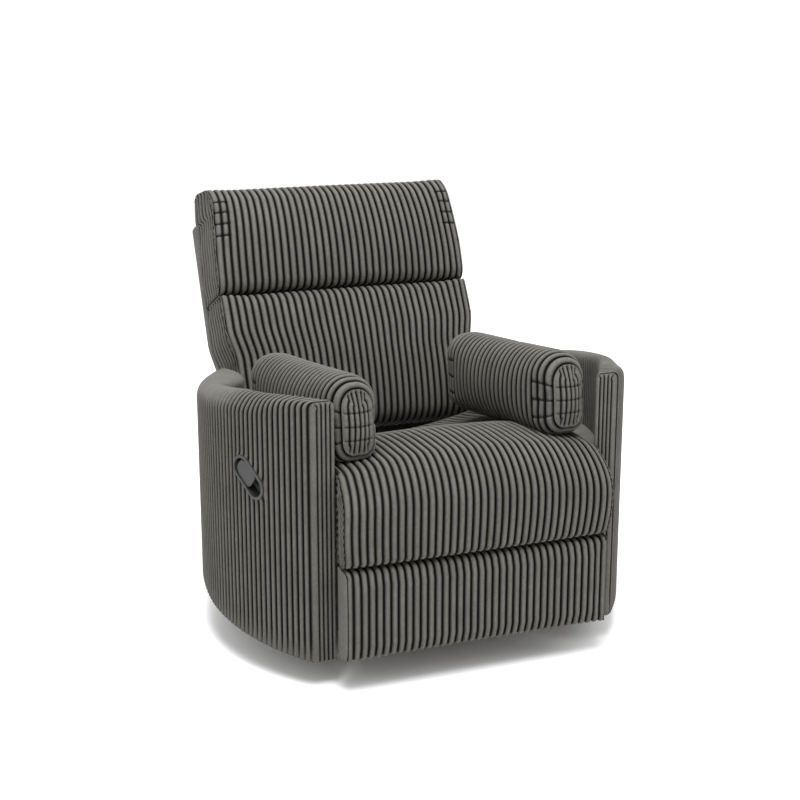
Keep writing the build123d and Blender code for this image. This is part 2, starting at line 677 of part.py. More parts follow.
def arm_shelf(inset):
    """Right-hand lower volume, from the outer wall in to the seat box."""
    profile = plate_yz(arm_side_profile(inset), 0, ARM_OUTER_R + 10)
    return extrude(arm_plan(inset, True), amount=ARM_LEDGE_Z - inset) & profile


def arm_body(inset):
    """Right-hand arm volume, drawn in by the inset on every face."""
    profile = plate_yz(arm_side_profile(inset), 0, ARM_OUTER_R + 10)
    wall = arm_plan(inset, False)
    return (extrude(wall, amount=ARM_TOP_FRONT_Z + 50) & profile) + arm_shelf(inset)


def arm_frame():
    """Right-hand wooden frame: curved panel, inner panel, posts and rails."""
    frame = arm_body(ARM_PAD) - arm_shelf(ARM_PAD + ARM_BOARD)
    for count in range(ARM_SLOTS):
        y = ARM_FRONT_Y + ARM_SLOT_WIDTH + count * ARM_SLOT_PITCH
        frame -= box_between(ARM_INNER_X, ARM_INNER_X + ARM_PAD + 2 * ARM_BOARD,
                             y, y + ARM_SLOT_WIDTH, ARM_SLOT_LOW_Z, ARM_SLOT_HIGH_Z)
    return frame


def arm_pad():
    """Right-hand upholstered arm, with softened outer edges."""
    body = arm_body(0)
    front = body.edges().filter_by(Axis.Z).group_by(Axis.Y)[0]
    body = fillet(front, ARM_EDGE_R)
    return body


# ================================================================ release handle
HANDLE_NORMAL = (-math.cos(math.radians(HANDLE_ANGLE)), -math.sin(math.radians(HANDLE_ANGLE)), 0)
HANDLE_FORWARD = (math.sin(math.radians(HANDLE_ANGLE)), -math.cos(math.radians(HANDLE_ANGLE)), 0)
HANDLE_POINT = (HANDLE_NORMAL[0] * ARM_OUTER_R, ARM_CENTRE_Y + HANDLE_NORMAL[1] * ARM_OUTER_R,
                HANDLE_Z)
HANDLE_LONG = (HANDLE_FORWARD[0] * math.cos(math.radians(HANDLE_SLOPE)),
               HANDLE_FORWARD[1] * math.cos(math.radians(HANDLE_SLOPE)),
               math.sin(math.radians(HANDLE_SLOPE)))
HANDLE_PLANE = Plane(origin=HANDLE_POINT, x_dir=HANDLE_LONG, z_dir=HANDLE_NORMAL)
HINGE_U = -BEZEL_LENGTH / 2 + BEZEL_RIM + PADDLE_HINGE_R + 4


def on_handle(part):
    """Places a piece drawn at the origin on the handle plane."""
    return HANDLE_PLANE.location * part


def oval(length, width, low, high):
    """Slot-shaped block along the handle's long axis."""
    return Pos(0, 0, low) * extrude(SlotOverall(length, width), amount=high - low)


def handle_bezel():
    """Oval rim, slightly proud of the arm."""
    rim = oval(BEZEL_LENGTH, BEZEL_WIDTH, -BEZEL_DEPTH, BEZEL_PROUD)
    rim = chamfer(rim.edges().group_by(Axis.Z)[-1], 1.2)
    rim -= oval(BEZEL_LENGTH - 2 * BEZEL_RIM, BEZEL_WIDTH - 2 * BEZEL_RIM,
                -2 * BEZEL_DEPTH, 2 * BEZEL_DEPTH)
    return on_handle(rim)


def cup_block(grow):
    """Outside of the cup, grown by a clearance."""
    length = BEZEL_LENGTH - 2 * BEZEL_RIM + 2 * (CUP_WALL + grow)
    width = BEZEL_WIDTH - 2 * BEZEL_RIM + 2 * (CUP_WALL + grow)
    return oval(length, width, -CUP_DEPTH - grow, -BEZEL_DEPTH)


def handle_cup():
    """Recess behind the rim, with the bores of the paddle pin."""
    cup = cup_block(0)
    cup -= oval(BEZEL_LENGTH - 2 * BEZEL_RIM, BEZEL_WIDTH - 2 * BEZEL_RIM,
                -CUP_DEPTH + CUP_WALL, 0)
    cup -= paddle_pin_block(PADDLE_PIN_R)
    return on_handle(cup)


def paddle_pin_block(radius):
    """Paddle pin volume in handle coordinates, as long as the cup is wide there."""
    end_r = BEZEL_WIDTH / 2 - BEZEL_RIM + CUP_WALL
    from_end = BEZEL_LENGTH / 2 - BEZEL_RIM + CUP_WALL + HINGE_U
    half = math.sqrt(end_r ** 2 - (end_r - from_end) ** 2)
    return Pos(HINGE_U, 0, -PADDLE_HINGE_DEPTH) * Rot(90, 0, 0) * Cylinder(radius, 2 * half - 3)


def paddle_pin():
    """Steel pin across the cup."""
    return on_handle(paddle_pin_block(PADDLE_PIN_R))


def release_paddle():
    """Flat lever with a hinge barrel and a finger lip at its free end."""
    length = BEZEL_LENGTH - 2 * BEZEL_RIM - 2 * PADDLE_GAP
    width = BEZEL_WIDTH - 2 * BEZEL_RIM - 2 * PADDLE_GAP
    centred = (Align.CENTER, Align.CENTER, Align.MIN)
    start = HINGE_U - PADDLE_HEEL
    end = start + PADDLE_LENGTH
    lever = Pos(start + length / 2, 0, 0) * oval(length, width, -PADDLE_THICK, 0)
    lever &= Pos(start, 0, -PADDLE_THICK) * Box(
        PADDLE_LENGTH, width, PADDLE_THICK, align=(Align.MIN, Align.CENTER, Align.MIN))
    lever = fillet(lever.edges().filter_by(Axis.Z).group_by(Axis.X)[-1], PADDLE_CORNER_R)
    lip = Pos(end - 3, 0, -PADDLE_THICK - 5) * Box(4, width - 26, 6, align=centred)
    barrel_width = width - 16
    barrel = Pos(HINGE_U, 0, -PADDLE_HINGE_DEPTH) * Rot(90, 0, 0) * Cylinder(
        PADDLE_HINGE_R, barrel_width)
    web = Pos(start, 0, -PADDLE_HINGE_DEPTH) * Box(
        PADDLE_HEEL + PADDLE_HINGE_R, barrel_width, PADDLE_HINGE_DEPTH - PADDLE_THICK / 2,
        align=(Align.MIN, Align.CENTER, Align.MIN))
    paddle = lever + lip + barrel + web
    paddle -= Pos(HINGE_U, 0, -PADDLE_HINGE_DEPTH) * Rot(90, 0, 0) * Cylinder(
        PADDLE_PIN_R + RUN, 2 * BEZEL_WIDTH)
    return on_handle(paddle)


# ================================================================ backrest
BACK_LOCATION = Pos(0, BACK_Y, BACK_Z) * Rot(-BACK_TILT, 0, 0)


def on_back(part):
    """Places a piece drawn upright, front towards -Y, on the tilted backrest."""
    return BACK_LOCATION * part


def outer_back():
    """Rear cover panel with round upper corners."""
    height = BACK_TOP_S - BACK_LOW_S + 40
    outline = Pos(0, BACK_LOW_S - 50 + height / 2) * Rectangle(2 * BACK_HALF, height)
    top = outline.vertices().group_by(Axis.Y)[-1]
    outline = fillet(top, 45)
    panel = extrude(Plane.XZ * outline, amount=BACK_SKIN)
    return on_back(panel)


def back_frame():
    """Plywood back panel with lightening slots and two stiffening stiles."""
    height = BACK_TOP_S - 30 - BACK_LOW_S
    outline = Pos(0, BACK_LOW_S + height / 2) * Rectangle(2 * (BACK_HALF - 14), height)
    outline = fillet(outline.vertices().group_by(Axis.Y)[-1], 40)
    for x in (-195, -65, 65, 195):
        for s in (-35, 245):
            outline -= Pos(x, s) * SlotOverall(180, 84, rotation=90)
    panel = extrude(Plane.XZ * outline, amount=BACK_BOARD)
    return on_back(Pos(0, -BACK_SKIN, 0) * panel)


def back_profile(x, draw, low, high, depth, low_r, high_r):
    """Side view of a back cushion at x, with a full front face and round ends."""
    fall = BACK_CROWN * (x / BACK_HALF) ** 2 + draw
    rear = -(BACK_SKIN + BACK_BOARD + SOFT_GAP)
    face = fall - depth
    return across(x, rounded_outline((
        (rear, low + draw, 0), (face + BACK_FACE_DRAW, low + draw, low_r),
        (face, (low + high) / 2, BACK_FACE_R),
        (face + BACK_FACE_DRAW, high - draw, high_r), (rear, high - draw, 0))))


def back_cushion(low, high, depth, low_r, high_r):
    """Cushion of the backrest between two heights."""
    half = BACK_HALF - SOFT_GAP
    return on_back(loft([back_profile(share * half, draw * BACK_SEAM_DRAW, low, high, depth,
                                      low_r, high_r)
                         for share, draw in CROWN_STATIONS], ruled=True))


def lumbar_cushion():
    """Lower back cushion, cut round the two brackets."""
    cushion = back_cushion(BACK_LOW_S, BACK_SEAM_S - SEAM_GAP, LUMBAR_DEPTH,
                           LUMBAR_LOW_R, LUMBAR_HIGH_R)
    for side in (-1, 1):
        x = side * (BRACKET_X + BRACKET_PLATE / 2)
        cushion -= on_back(Pos(x, 0, BACK_LOW_S) * Box(
            BRACKET_PLATE + 2 * SOFT_GAP, 2 * BRACKET_SLOT_DEPTH, 2 * BRACKET_SLOT_HEIGHT))
    return cushion


def head_cushion():
    """Head roll, round on top."""
    return back_cushion(BACK_SEAM_S, BACK_TOP_S, HEAD_DEPTH, HEAD_LOW_R, HEAD_HIGH_R)


def back_bracket():
    """Right-hand steel bracket from the back frame down to the recline pivot."""
    up = Vector(0, math.sin(math.radians(BACK_TILT)), math.cos(math.radians(BACK_TILT)))
    face = Vector(0, BACK_Y, BACK_Z) + Vector(0, -up.Z, up.Y) * (BACK_SKIN + BACK_BOARD)
    low_point = face + up * (BACK_LOW_S + 2)
    top_point = face + up * (BACK_LOW_S + 130)
    out = Vector(0, -up.Z, up.Y) * BRACKET_WIDTH
    outline = make_face(Polyline(
        (low_point.Y, low_point.Z), (top_point.Y, top_point.Z),
        ((top_point + out).Y, (top_point + out).Z),
        (BACK_PIVOT_Y - 14, BACK_PIVOT_Z), (BACK_PIVOT_Y + 10, BACK_PIVOT_Z - 8), close=True))
    outline += round_hole(BACK_PIVOT_Y, BACK_PIVOT_Z, 14)
    outline -= round_hole(BACK_PIVOT_Y, BACK_PIVOT_Z, GLIDE_PIN_R + RUN)
    return plate_yz(outline, BRACKET_X, BRACKET_PLATE)


# ================================================================ footrest
def drive_link():
    """Right-hand long link from the side plate to the knee."""
    outline = bar_outline(DRIVE_Y, DRIVE_Z, KNEE_Y, KNEE_Z, LINK_HALF)
    outline -= round_hole(DRIVE_Y, DRIVE_Z, LINK_PIN_R + RUN)
    outline -= round_hole(KNEE_Y, KNEE_Z, LINK_PIN_R)
    outline -= round_hole(CROSS_Y, CROSS_Z, LINK_PIN_R)
    return plate_yz(outline, DRIVE_X, LINK)


def cross_link():
    """Right-hand link that crosses the drive link, with an ear for the control link."""
    top_y = CROSS_Y + FRONT_LINK_DY
    top_z = CROSS_Z + FRONT_LINK_DZ
    ear_y = CROSS_Y + EAR_DY
    ear_z = CROSS_Z + EAR_DZ
    outline = bar_outline(CROSS_Y, CROSS_Z, top_y, top_z, LINK_HALF - 1)
    outline += bar_outline(CROSS_Y, CROSS_Z, ear_y, ear_z, LINK_HALF - 1)
    outline -= round_hole(CROSS_Y, CROSS_Z, LINK_PIN_R + RUN)
    outline -= round_hole(top_y, top_z, LINK_PIN_R)
    outline -= round_hole(ear_y, ear_z, LINK_PIN_R)
    return plate_yz(outline, CROSS_X, LINK)


def front_link():
    """Right-hand link from the knee to the footrest bracket."""
    top_y = KNEE_Y + FRONT_LINK_DY
    top_z = KNEE_Z + FRONT_LINK_DZ
    outline = bar_outline(KNEE_Y, KNEE_Z, top_y, top_z, LINK_HALF)
    outline -= round_hole(KNEE_Y, KNEE_Z, LINK_PIN_R + RUN)
    outline -= round_hole(top_y, top_z, LINK_PIN_R + RUN)
    return plate_yz(outline, FRONT_X, LINK)


def control_link():
    """Right-hand link from the side plate to the ear of the cross link."""
    ear_y = CROSS_Y + EAR_DY
    ear_z = CROSS_Z + EAR_DZ
    outline = bar_outline(CONTROL_Y, CONTROL_Z, ear_y, ear_z, LINK_HALF - 1)
    outline -= round_hole(CONTROL_Y, CONTROL_Z, LINK_PIN_R + RUN)
    outline -= round_hole(ear_y, ear_z, LINK_PIN_R + OPEN_PIVOT_GAP)
    return plate_yz(outline, CONTROL_X, LINK)


def drive_rivets():
    """Rivets fixed in the drive links: knee and crossing pivots."""
    knee = pin_x(KNEE_Y, KNEE_Z, LINK_PIN_R, DRIVE_X, FRONT_X + LINK + 0.3)
    knee += pin_x(KNEE_Y, KNEE_Z, LINK_HEAD_R, FRONT_X + LINK + 0.3, FRONT_X + LINK + 1.5)
    crossing = pin_x(CROSS_Y, CROSS_Z, LINK_PIN_R, CROSS_X, DRIVE_X + LINK)
    return Part() + [knee, mirrored(knee), crossing, mirrored(crossing)]


def cross_rivets():
    """Rivets fixed in the cross links: ear pivot and upper bracket pivot."""
    ear_y = CROSS_Y + EAR_DY
    ear_z = CROSS_Z + EAR_DZ
    top_y = CROSS_Y + FRONT_LINK_DY
    top_z = CROSS_Z + FRONT_LINK_DZ
    ear = pin_x(ear_y, ear_z, LINK_PIN_R, CONTROL_X, CROSS_X + LINK)
    top = pin_x(top_y, top_z, LINK_PIN_R, CROSS_X, DRIVE_X + LINK)
    return Part() + [ear, mirrored(ear), top, mirrored(top)]


def board_rear_y():
    """Rear face of the footrest board, closed."""
    return PAD_FRONT_Y + PAD_DEPTH + BOARD_DEPTH


def footrest_bracket():
    """Right-hand angle screwed to the board, with the two upper pivots."""
    low_y = KNEE_Y + FRONT_LINK_DY
    low_z = KNEE_Z + FRONT_LINK_DZ
    top_y = CROSS_Y + FRONT_LINK_DY
    top_z = CROSS_Z + FRONT_LINK_DZ
    face = board_rear_y()
    web = make_face(Polyline((face, PAD_LOW_Z + 25), (face + 8, PAD_LOW_Z + 25),
                             (low_y + 9, low_z - 14), (top_y + 9, top_z), (face, top_z), close=True))
    web += round_hole(top_y, top_z, LINK_HALF - 1)
    web -= round_hole(low_y, low_z, LINK_PIN_R)
    web -= round_hole(top_y, top_z, LINK_PIN_R + RUN)
    bracket = plate_yz(web, DRIVE_X, LINK)
    flange_inner = DRIVE_X - 22
    bracket += box_between(flange_inner, DRIVE_X, face, face + 2.5, PAD_LOW_Z + 25, top_z - 30)
    return bracket


def bracket_rivets():
    """Rivets fixed in the footrest brackets, that run in the front links."""
    low_y = KNEE_Y + FRONT_LINK_DY
    low_z = KNEE_Z + FRONT_LINK_DZ
    pin = pin_x(low_y, low_z, LINK_PIN_R, DRIVE_X, FRONT_X + LINK + 0.3)
    pin += pin_x(low_y, low_z, LINK_HEAD_R, FRONT_X + LINK + 0.3, FRONT_X + LINK + 1.5)
    return pair(pin)


def footrest_board():
    """Plywood board behind the footrest pad."""
    half = PAD_HALF - BOARD_INSET
    y0 = PAD_FRONT_Y + PAD_DEPTH
    return box_between(-half, half, y0, y0 + BOARD_DEPTH, PAD_LOW_Z + BOARD_INSET,
                       PAD_HIGH_Z - BOARD_INSET)


def footrest_pad():
    """Padded front of the footrest, drawn in at its rear and round in front."""
    sections = []
    for depth, draw in ((0.0, 0.8), (0.12, 0.3), (0.35, 0.05), (0.7, 0.0), (1.0, 0.4)):
        inset = draw * PAD_CORNER_R
        half = PAD_HALF - inset
        low = PAD_LOW_Z + inset
        high = PAD_HIGH_Z - inset
        outline = rounded_outline(((-half, low, PAD_CORNER_R), (half, low, PAD_CORNER_R),
                                   (half, high, PAD_CORNER_R), (-half, high, PAD_CORNER_R)))
        y = PAD_FRONT_Y + depth * PAD_DEPTH
        sections.append(Plane(origin=(0, y, 0), x_dir=(1, 0, 0), z_dir=(0, -1, 0)) * outline)
    return loft(sections, ruled=True)


# ================================================================ arm pillows
def pillow():
    """Box pillow along Y, fullest in the middle, origin under its centre."""
    sections = []
    for share, draw in ((-1.0, 1.0), (-0.95, 0.4), (-0.6, 0.1), (0.0, 0.0), (0.6, 0.1),
                        (0.95, 0.4), (1.0, 1.0)):
        inset = draw * PILLOW_SEAM_DRAW
        half = PILLOW_HALF_W - inset
        high = PILLOW_HEIGHT - PILLOW_BULGE - inset
        outline = rounded_outline((
            (-half, inset, PILLOW_EDGE_R - inset), (half, inset, PILLOW_EDGE_R - inset),
            (half, high, PILLOW_EDGE_R - inset), (0, high + PILLOW_BULGE, PILLOW_TOP_R),
            (-half, high, PILLOW_EDGE_R - inset)))
        sections.append(Plane(origin=(0, share * PILLOW_LENGTH / 2, 0), x_dir=(1, 0, 0),
                              z_dir=(0, -1, 0)) * outline)
    return loft(sections, ruled=True)


PILLOW_LEFT_AT = Pos(PILLOW_LEFT_X, PILLOW_Y, PILLOW_LEFT_Z) * Rot(
    -PILLOW_SLOPE, 0, PILLOW_TURN_LEFT)
PILLOW_RIGHT_AT = Pos(PILLOW_RIGHT_X, PILLOW_Y, PILLOW_RIGHT_Z) * Rot(
    -PILLOW_SLOPE, 0, PILLOW_TURN_RIGHT)


# ================================================================ nodes
def build():
    """All nodes by name."""
    frame_right = arm_frame()
    arm_right = arm_pad() - frame_right
    frame_left = mirrored(frame_right)
    recess = on_handle(cup_block(0) + oval(BEZEL_LENGTH, BEZEL_WIDTH, -BEZEL_DEPTH, BEZEL_PROUD))
    arm_left = mirrored(arm_right) - recess
    frame_left = frame_left - recess
    cushion = seat_cushion()
    dent = Pos(0, 0, SOFT_GAP) * cushion
    nodes = {
        "floor_ring": floor_ring(),
        "floor_feet": floor_feet(),
        "base_spider": base_spider(),
        "swivel_lower_race": lower_race(),
        "bearing_ring": bearing_ring(),
        "spider_bolts": spider_bolts(),
        "swivel_upper_race": upper_race(),
        "glider_crossbars": crossbars(),
        "glider_tower_right": tower_plate(),
        "glider_tower_left": mirrored(tower_plate()),
        "upper_glide_pins": upper_glide_pins(),
        "carrier_rail_right": carrier_rail(),
        "carrier_rail_left": mirrored(carrier_rail()),
        "lower_glide_pins": lower_glide_pins(),
        "front_cross_tube": cross_tube(FRONT_TUBE_Y),
        "rear_cross_tube": cross_tube(REAR_TUBE_Y),
        "side_plate_right": side_plate(),
        "side_plate_left": mirrored(side_plate()),
        "side_plate_pins": side_plate_pins(),
        "seat_frame": seat_frame(),
        "seat_springs": seat_springs(),
        "seat_cushion": cushion,
        "rear_apron": rear_apron(),
        "arm_frame_right": frame_right,
        "arm_frame_left": frame_left,
        "arm_right": arm_right,
        "arm_left": arm_left,
        "handle_bezel": handle_bezel(),
        "handle_cup": handle_cup(),
        "paddle_pin": paddle_pin(),
        "release_paddle": release_paddle(),
        "outer_back": outer_back(),
        "back_frame": back_frame(),
        "lumbar_cushion": lumbar_cushion(),
        "head_cushion": head_cushion(),
        "back_bracket_right": back_bracket(),
        "back_bracket_left": mirrored(back_bracket()),
        "drive_link_right": drive_link(),
        "drive_link_left": mirrored(drive_link()),
        "drive_rivets": drive_rivets(),
        "cross_link_right": cross_link(),
        "cross_link_left": mirrored(cross_link()),
        "cross_rivets": cross_rivets(),
        "front_link_right": front_link(),
        "front_link_left": mirrored(front_link()),
        "control_link_right": control_link(),
        "control_link_left": mirrored(control_link()),
        "footrest_bracket_right": footrest_bracket(),
        "footrest_bracket_left": mirrored(footrest_bracket()),
        "bracket_rivets": bracket_rivets(),
        "footrest_board": footrest_board(),
        "footrest_pad": footrest_pad(),
        "arm_pillow_left": PILLOW_LEFT_AT * pillow() - dent,
        "arm_pillow_right": PILLOW_RIGHT_AT * pillow() - dent,
    }
    for name, y in (("front", -GLIDE_PIVOT_Y), ("rear", GLIDE_PIVOT_Y)):
        nodes["glide_link_" + name + "_right"] = glide_link(y)
        nodes["glide_link_" + name + "_left"] = mirrored(glide_link(y))
    return nodes


def main():
    os.makedirs("parts", exist_ok=True)
    for node, part in build().items():
        save(node, part)


main()
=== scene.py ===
import json
import logging
import math
from abc import ABC, abstractmethod
from dataclasses import dataclass, field
from enum import Enum
from typing import NamedTuple

import bmesh
import bpy
import numpy as np
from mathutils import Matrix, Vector


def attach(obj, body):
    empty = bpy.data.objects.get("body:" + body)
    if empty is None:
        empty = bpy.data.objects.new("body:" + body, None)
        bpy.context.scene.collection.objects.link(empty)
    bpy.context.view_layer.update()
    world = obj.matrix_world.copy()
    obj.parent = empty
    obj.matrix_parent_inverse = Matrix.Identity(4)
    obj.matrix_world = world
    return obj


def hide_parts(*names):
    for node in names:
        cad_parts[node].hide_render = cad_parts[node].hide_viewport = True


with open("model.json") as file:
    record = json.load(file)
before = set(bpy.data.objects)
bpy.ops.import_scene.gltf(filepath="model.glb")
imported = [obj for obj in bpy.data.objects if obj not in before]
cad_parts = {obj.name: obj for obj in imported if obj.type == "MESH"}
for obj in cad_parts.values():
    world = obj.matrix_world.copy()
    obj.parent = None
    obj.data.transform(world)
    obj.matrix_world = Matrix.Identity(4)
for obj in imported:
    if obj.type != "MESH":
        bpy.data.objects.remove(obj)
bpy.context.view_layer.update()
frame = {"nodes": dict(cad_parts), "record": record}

LOG = logging.getLogger("recliner")
Array = np.ndarray
Piece = bpy.types.Object
Tree = bpy.types.NodeTree
Socket = bpy.types.NodeSocket

# Lengths are metres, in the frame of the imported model: +Z up, the front faces -Y.
RIB_PITCH = 0.0174
RIB_STEPS = (0.0, 0.045, 0.11, 0.2, 0.34, 0.5, 0.66, 0.8, 0.89, 0.955)
NARROW_RIB_STEPS = (0.0, 0.05, 0.14, 0.3, 0.5, 0.7, 0.86, 0.95)
RIB_ROUNDNESS = 0.66      # under 1, so that a rib is fuller than half a wave
RIB_GAP = 0.09            # flat floor of a valley, as a share of the wave
LAY_ATTRIBUTE = "lay"     # across the ribs, along the ribs, height of the rib from 0 to 1
CLOTH_FRAMES = 20
TINY = 1e-6
SEAM_START = 0.92         # where a cushion draws in to its side seams, as a share of its half width
RIM_BAND = 0.006          # width beside a panel's edge over which its ribs rise
HIDDEN_DEPTH = 0.2        # depth of the ribs where a cushion is hidden, as a share
HIDDEN_BAND = 0.03


# ------------------------------------------------------------------ grids and profiles
def ribbed_axis(low: float, high: float, pitch: float = RIB_PITCH,
                steps: tuple = RIB_STEPS) -> Array:
    """Places from low to high, closer together beside each valley between ribs.

    Args:
        low: where the first valley is.
        high: where the last valley is.
        pitch: width of one rib, adjusted so that a whole number fits.
        steps: places within one rib, as shares of its width.

    Returns:
        The places, from low to high.
    """
    ribs = max(1, round((high - low) / pitch))
    places = [(rib + step) / ribs for rib in range(ribs) for step in steps] + [1.0]
    return low + (high - low) * np.array(places)


def even_axis(low: float, high: float, step: float) -> Array:
    """Evenly spaced places from low to high, about step apart."""
    return np.linspace(low, high, max(2, round((high - low) / step) + 1))


def rib_height(place: Array, low: float, high: float, pitch: float = RIB_PITCH) -> Array:
    """Height of the ribs, 0 in a valley and 1 on a crest.

    Args:
        place: where to measure, along the axis that crosses the ribs.
        low: where the first valley is.
        high: where the last valley is.
        pitch: width of one rib, adjusted so that a whole number fits.

    Returns:
        One height for each place.
    """
    ribs = max(1, round((high - low) / pitch))
    phase = (place - low) / (high - low) * ribs
    wave = np.abs(np.sin(np.pi * phase))
    return np.clip((wave - RIB_GAP) / (1 - RIB_GAP), 0.0, 1.0) ** RIB_ROUNDNESS


def press_stitches(height: Array, place: Array, rows: tuple, width: float,
                   share: Array | float) -> Array:
    """Presses rows of stitches across the ribs.

    Args:
        height: rib height at each point.
        place: place of each point, along the axis that crosses the rows.
        rows: where the rows are.
        width: half the width of the dent that a row makes.
        share: share of the height that a row takes away.

    Returns:
        The lowered heights.
    """
    for row in rows:
        height = height * (1 - share * np.exp(-((place - row) / width) ** 2))
    return height


def smooth(value: Array, low: float, high: float) -> Array:
    """0 below low, 1 above high and smooth between them."""
    share = np.clip((value - low) / (high - low), 0.0, 1.0)
    return share * share * (3 - 2 * share)


def round_corners(a: Array, b: Array, low: tuple, high: tuple, radii: tuple) -> tuple:
    """Rounds the corners of a rectangle's points, also of points inside it.

    Args:
        a: first coordinate of each point.
        b: second coordinate of each point.
        low: lowest a and b.
        high: highest a and b.
        radii: corner radii at (low a, low b), (high a, low b), (high a, high b), (low a, high b).

    Returns:
        The moved first and second coordinates.
    """
    a, b = a.copy(), b.copy()
    corners = ((low[0], low[1], 1, 1), (high[0], low[1], -1, 1),
               (high[0], high[1], -1, -1), (low[0], high[1], 1, -1))
    for radius, (corner_a, corner_b, sign_a, sign_b) in zip(radii, corners):
        if radius <= 0:
            continue
        part_a = (radius - (a - corner_a) * sign_a) / radius
        part_b = (radius - (b - corner_b) * sign_b) / radius
        inside = (part_a > 0) & (part_b > 0)
        reach = np.hypot(part_a, part_b)
        scale = np.where(inside, np.maximum(part_a, part_b) / np.maximum(reach, 1e-9), 1.0)
        a = np.where(inside, corner_a + sign_a * radius * (1 - part_a * scale), a)
        b = np.where(inside, corner_b + sign_b * radius * (1 - part_b * scale), b)
    return a, b


def cubic_weights(place: Array, last: int, ends: Array) -> tuple:
    """Four neighbours on a grid line and their weights, for a smooth reading between them.

    Args:
        place: place of each point, counted in grid steps.
        last: number of the last grid line.
        ends: where the point lies on the first or last grid line and reads only that one.

    Returns:
        Neighbour numbers and weights, each with a row of four for every point.
    """
    base = np.clip(np.floor(place), 0, last - 1).astype(int)
    t = place - base
    weights = np.stack([-0.5 * t + t ** 2 - 0.5 * t ** 3, 1 - 2.5 * t ** 2 + 1.5 * t ** 3,
                        0.5 * t + 2 * t ** 2 - 1.5 * t ** 3, -0.5 * t ** 2 + 0.5 * t ** 3], 1)
    lines = np.clip(base[:, None] + np.arange(-1, 3)[None, :], 0, last)
    whole = np.rint(place).astype(int)
    weights = np.where(ends[:, None], np.array([1.0, 0.0, 0.0, 0.0])[None, :], weights)
    lines = np.where(ends[:, None], whole[:, None], lines)
    return lines, weights


def read_between(moves: Array, coarse: tuple, places: tuple) -> Array:
    """Reads a coarse grid's moves smoothly between its lines.

    Args:
        moves: one move for each crossing of the coarse grid.
        coarse: places of the coarse grid's lines on the three axes.
        places: places of the points to read, one array for each axis.

    Returns:
        One move for each point.
    """
    lines, weights = [], []
    for line, place in zip(coarse, places):
        share = (place - line[0]) / (line[-1] - line[0]) * (len(line) - 1)
        ends = (place <= line[0]) | (place >= line[-1])
        found = cubic_weights(share, len(line) - 1, ends)
        lines.append(found[0])
        weights.append(found[1])
    total = np.zeros((len(places[0]), 3))
    for i, j, k in np.ndindex(4, 4, 4):
        weight = weights[0][:, i] * weights[1][:, j] * weights[2][:, k]
        total += weight[:, None] * moves[lines[0][:, i], lines[1][:, j], lines[2][:, k]]
    return total


def link_mesh(name: str, bm: bmesh.types.BMesh) -> Piece:
    """Puts a bmesh into the scene as a new object, and frees it.

    Args:
        name: name of the object and its mesh.
        bm: the finished bmesh.

    Returns:
        The new object.
    """
    mesh = bpy.data.meshes.new(name)
    bm.to_mesh(mesh)
    bm.free()
    made = bpy.data.objects.new(name, mesh)
    bpy.context.scene.collection.objects.link(made)
    return made


def box_grid(name: str, counts: tuple) -> Piece:
    """Closed box of quads, with its corners at 0 and 1 on each axis.

    Args:
        name: name of the object and its mesh.
        counts: number of steps along each axis.

    Returns:
        The new object.
    """
    bm = bmesh.new()
    bmesh.ops.create_cube(bm, size=1.0)
    bmesh.ops.translate(bm, vec=(0.5, 0.5, 0.5), verts=bm.verts)
    for axis, count in enumerate(counts):
        along = [edge for edge in bm.edges
                 if abs(edge.verts[0].co[axis] - edge.verts[1].co[axis]) > 0.5]
        bmesh.ops.subdivide_edges(bm, edges=along, cuts=count - 1, use_grid_fill=True)
    bmesh.ops.recalc_face_normals(bm, faces=bm.faces)
    return link_mesh(name, bm)


def read_points(made: Piece) -> Array:
    """Reads where a mesh's vertices are.

    Args:
        made: the object to read.

    Returns:
        One place for each vertex.
    """
    points = np.zeros(len(made.data.vertices) * 3)
    made.data.vertices.foreach_get("co", points)
    return points.reshape(-1, 3)


def write_points(made: Piece, points: Array) -> None:
    """Moves a mesh's vertices to the given places."""
    made.data.vertices.foreach_set("co", points.astype(np.float32).ravel())
    made.data.update()


def read_normals(made: Piece) -> Array:
    """Reads the smooth normals of a mesh's vertices.

    Args:
        made: the object to read.

    Returns:
        One normal for each vertex.
    """
    normals = np.zeros(len(made.data.vertices) * 3)
    made.data.vertex_normals.foreach_get("vector", normals)
    return normals.reshape(-1, 3)


def write_lay(made: Piece, across: Array, along: Array, height: Array) -> None:
    """Stores how the cloth lies, for the material to read; the rib height sets the painted shade in
    the valleys.

    Args:
        made: the piece that gets the attribute.
        across: place of each vertex across the ribs.
        along: place along the ribs.
        height: height of the rib there, from 0 to 1.
    """
    lay = made.data.attributes.new(LAY_ATTRIBUTE, "FLOAT_VECTOR", "POINT")
    values = np.stack([across, along, height], 1).astype(np.float32)
    lay.data.foreach_set("vector", values.ravel())


def turn_outwards(made: Piece) -> None:
    """Turns a closed mesh's faces outwards where its shape has mirrored them.

    Args:
        made: the piece to correct.
    """
    bm = bmesh.new()
    bm.from_mesh(made.data)
    if bm.calc_volume(signed=True) < 0:
        bmesh.ops.reverse_faces(bm, faces=bm.faces)
        bm.to_mesh(made.data)
    bm.free()


# ------------------------------------------------------------------ upholstered pieces
class Side(Enum):
    """A side of the chair, seen from the front, and its sign on the X axis."""

    LEFT = -1
    RIGHT = 1


class Spots(NamedTuple):
    """Points of a piece's flat-sided box, with one array of places for each axis."""

    u: Array
    v: Array
    w: Array


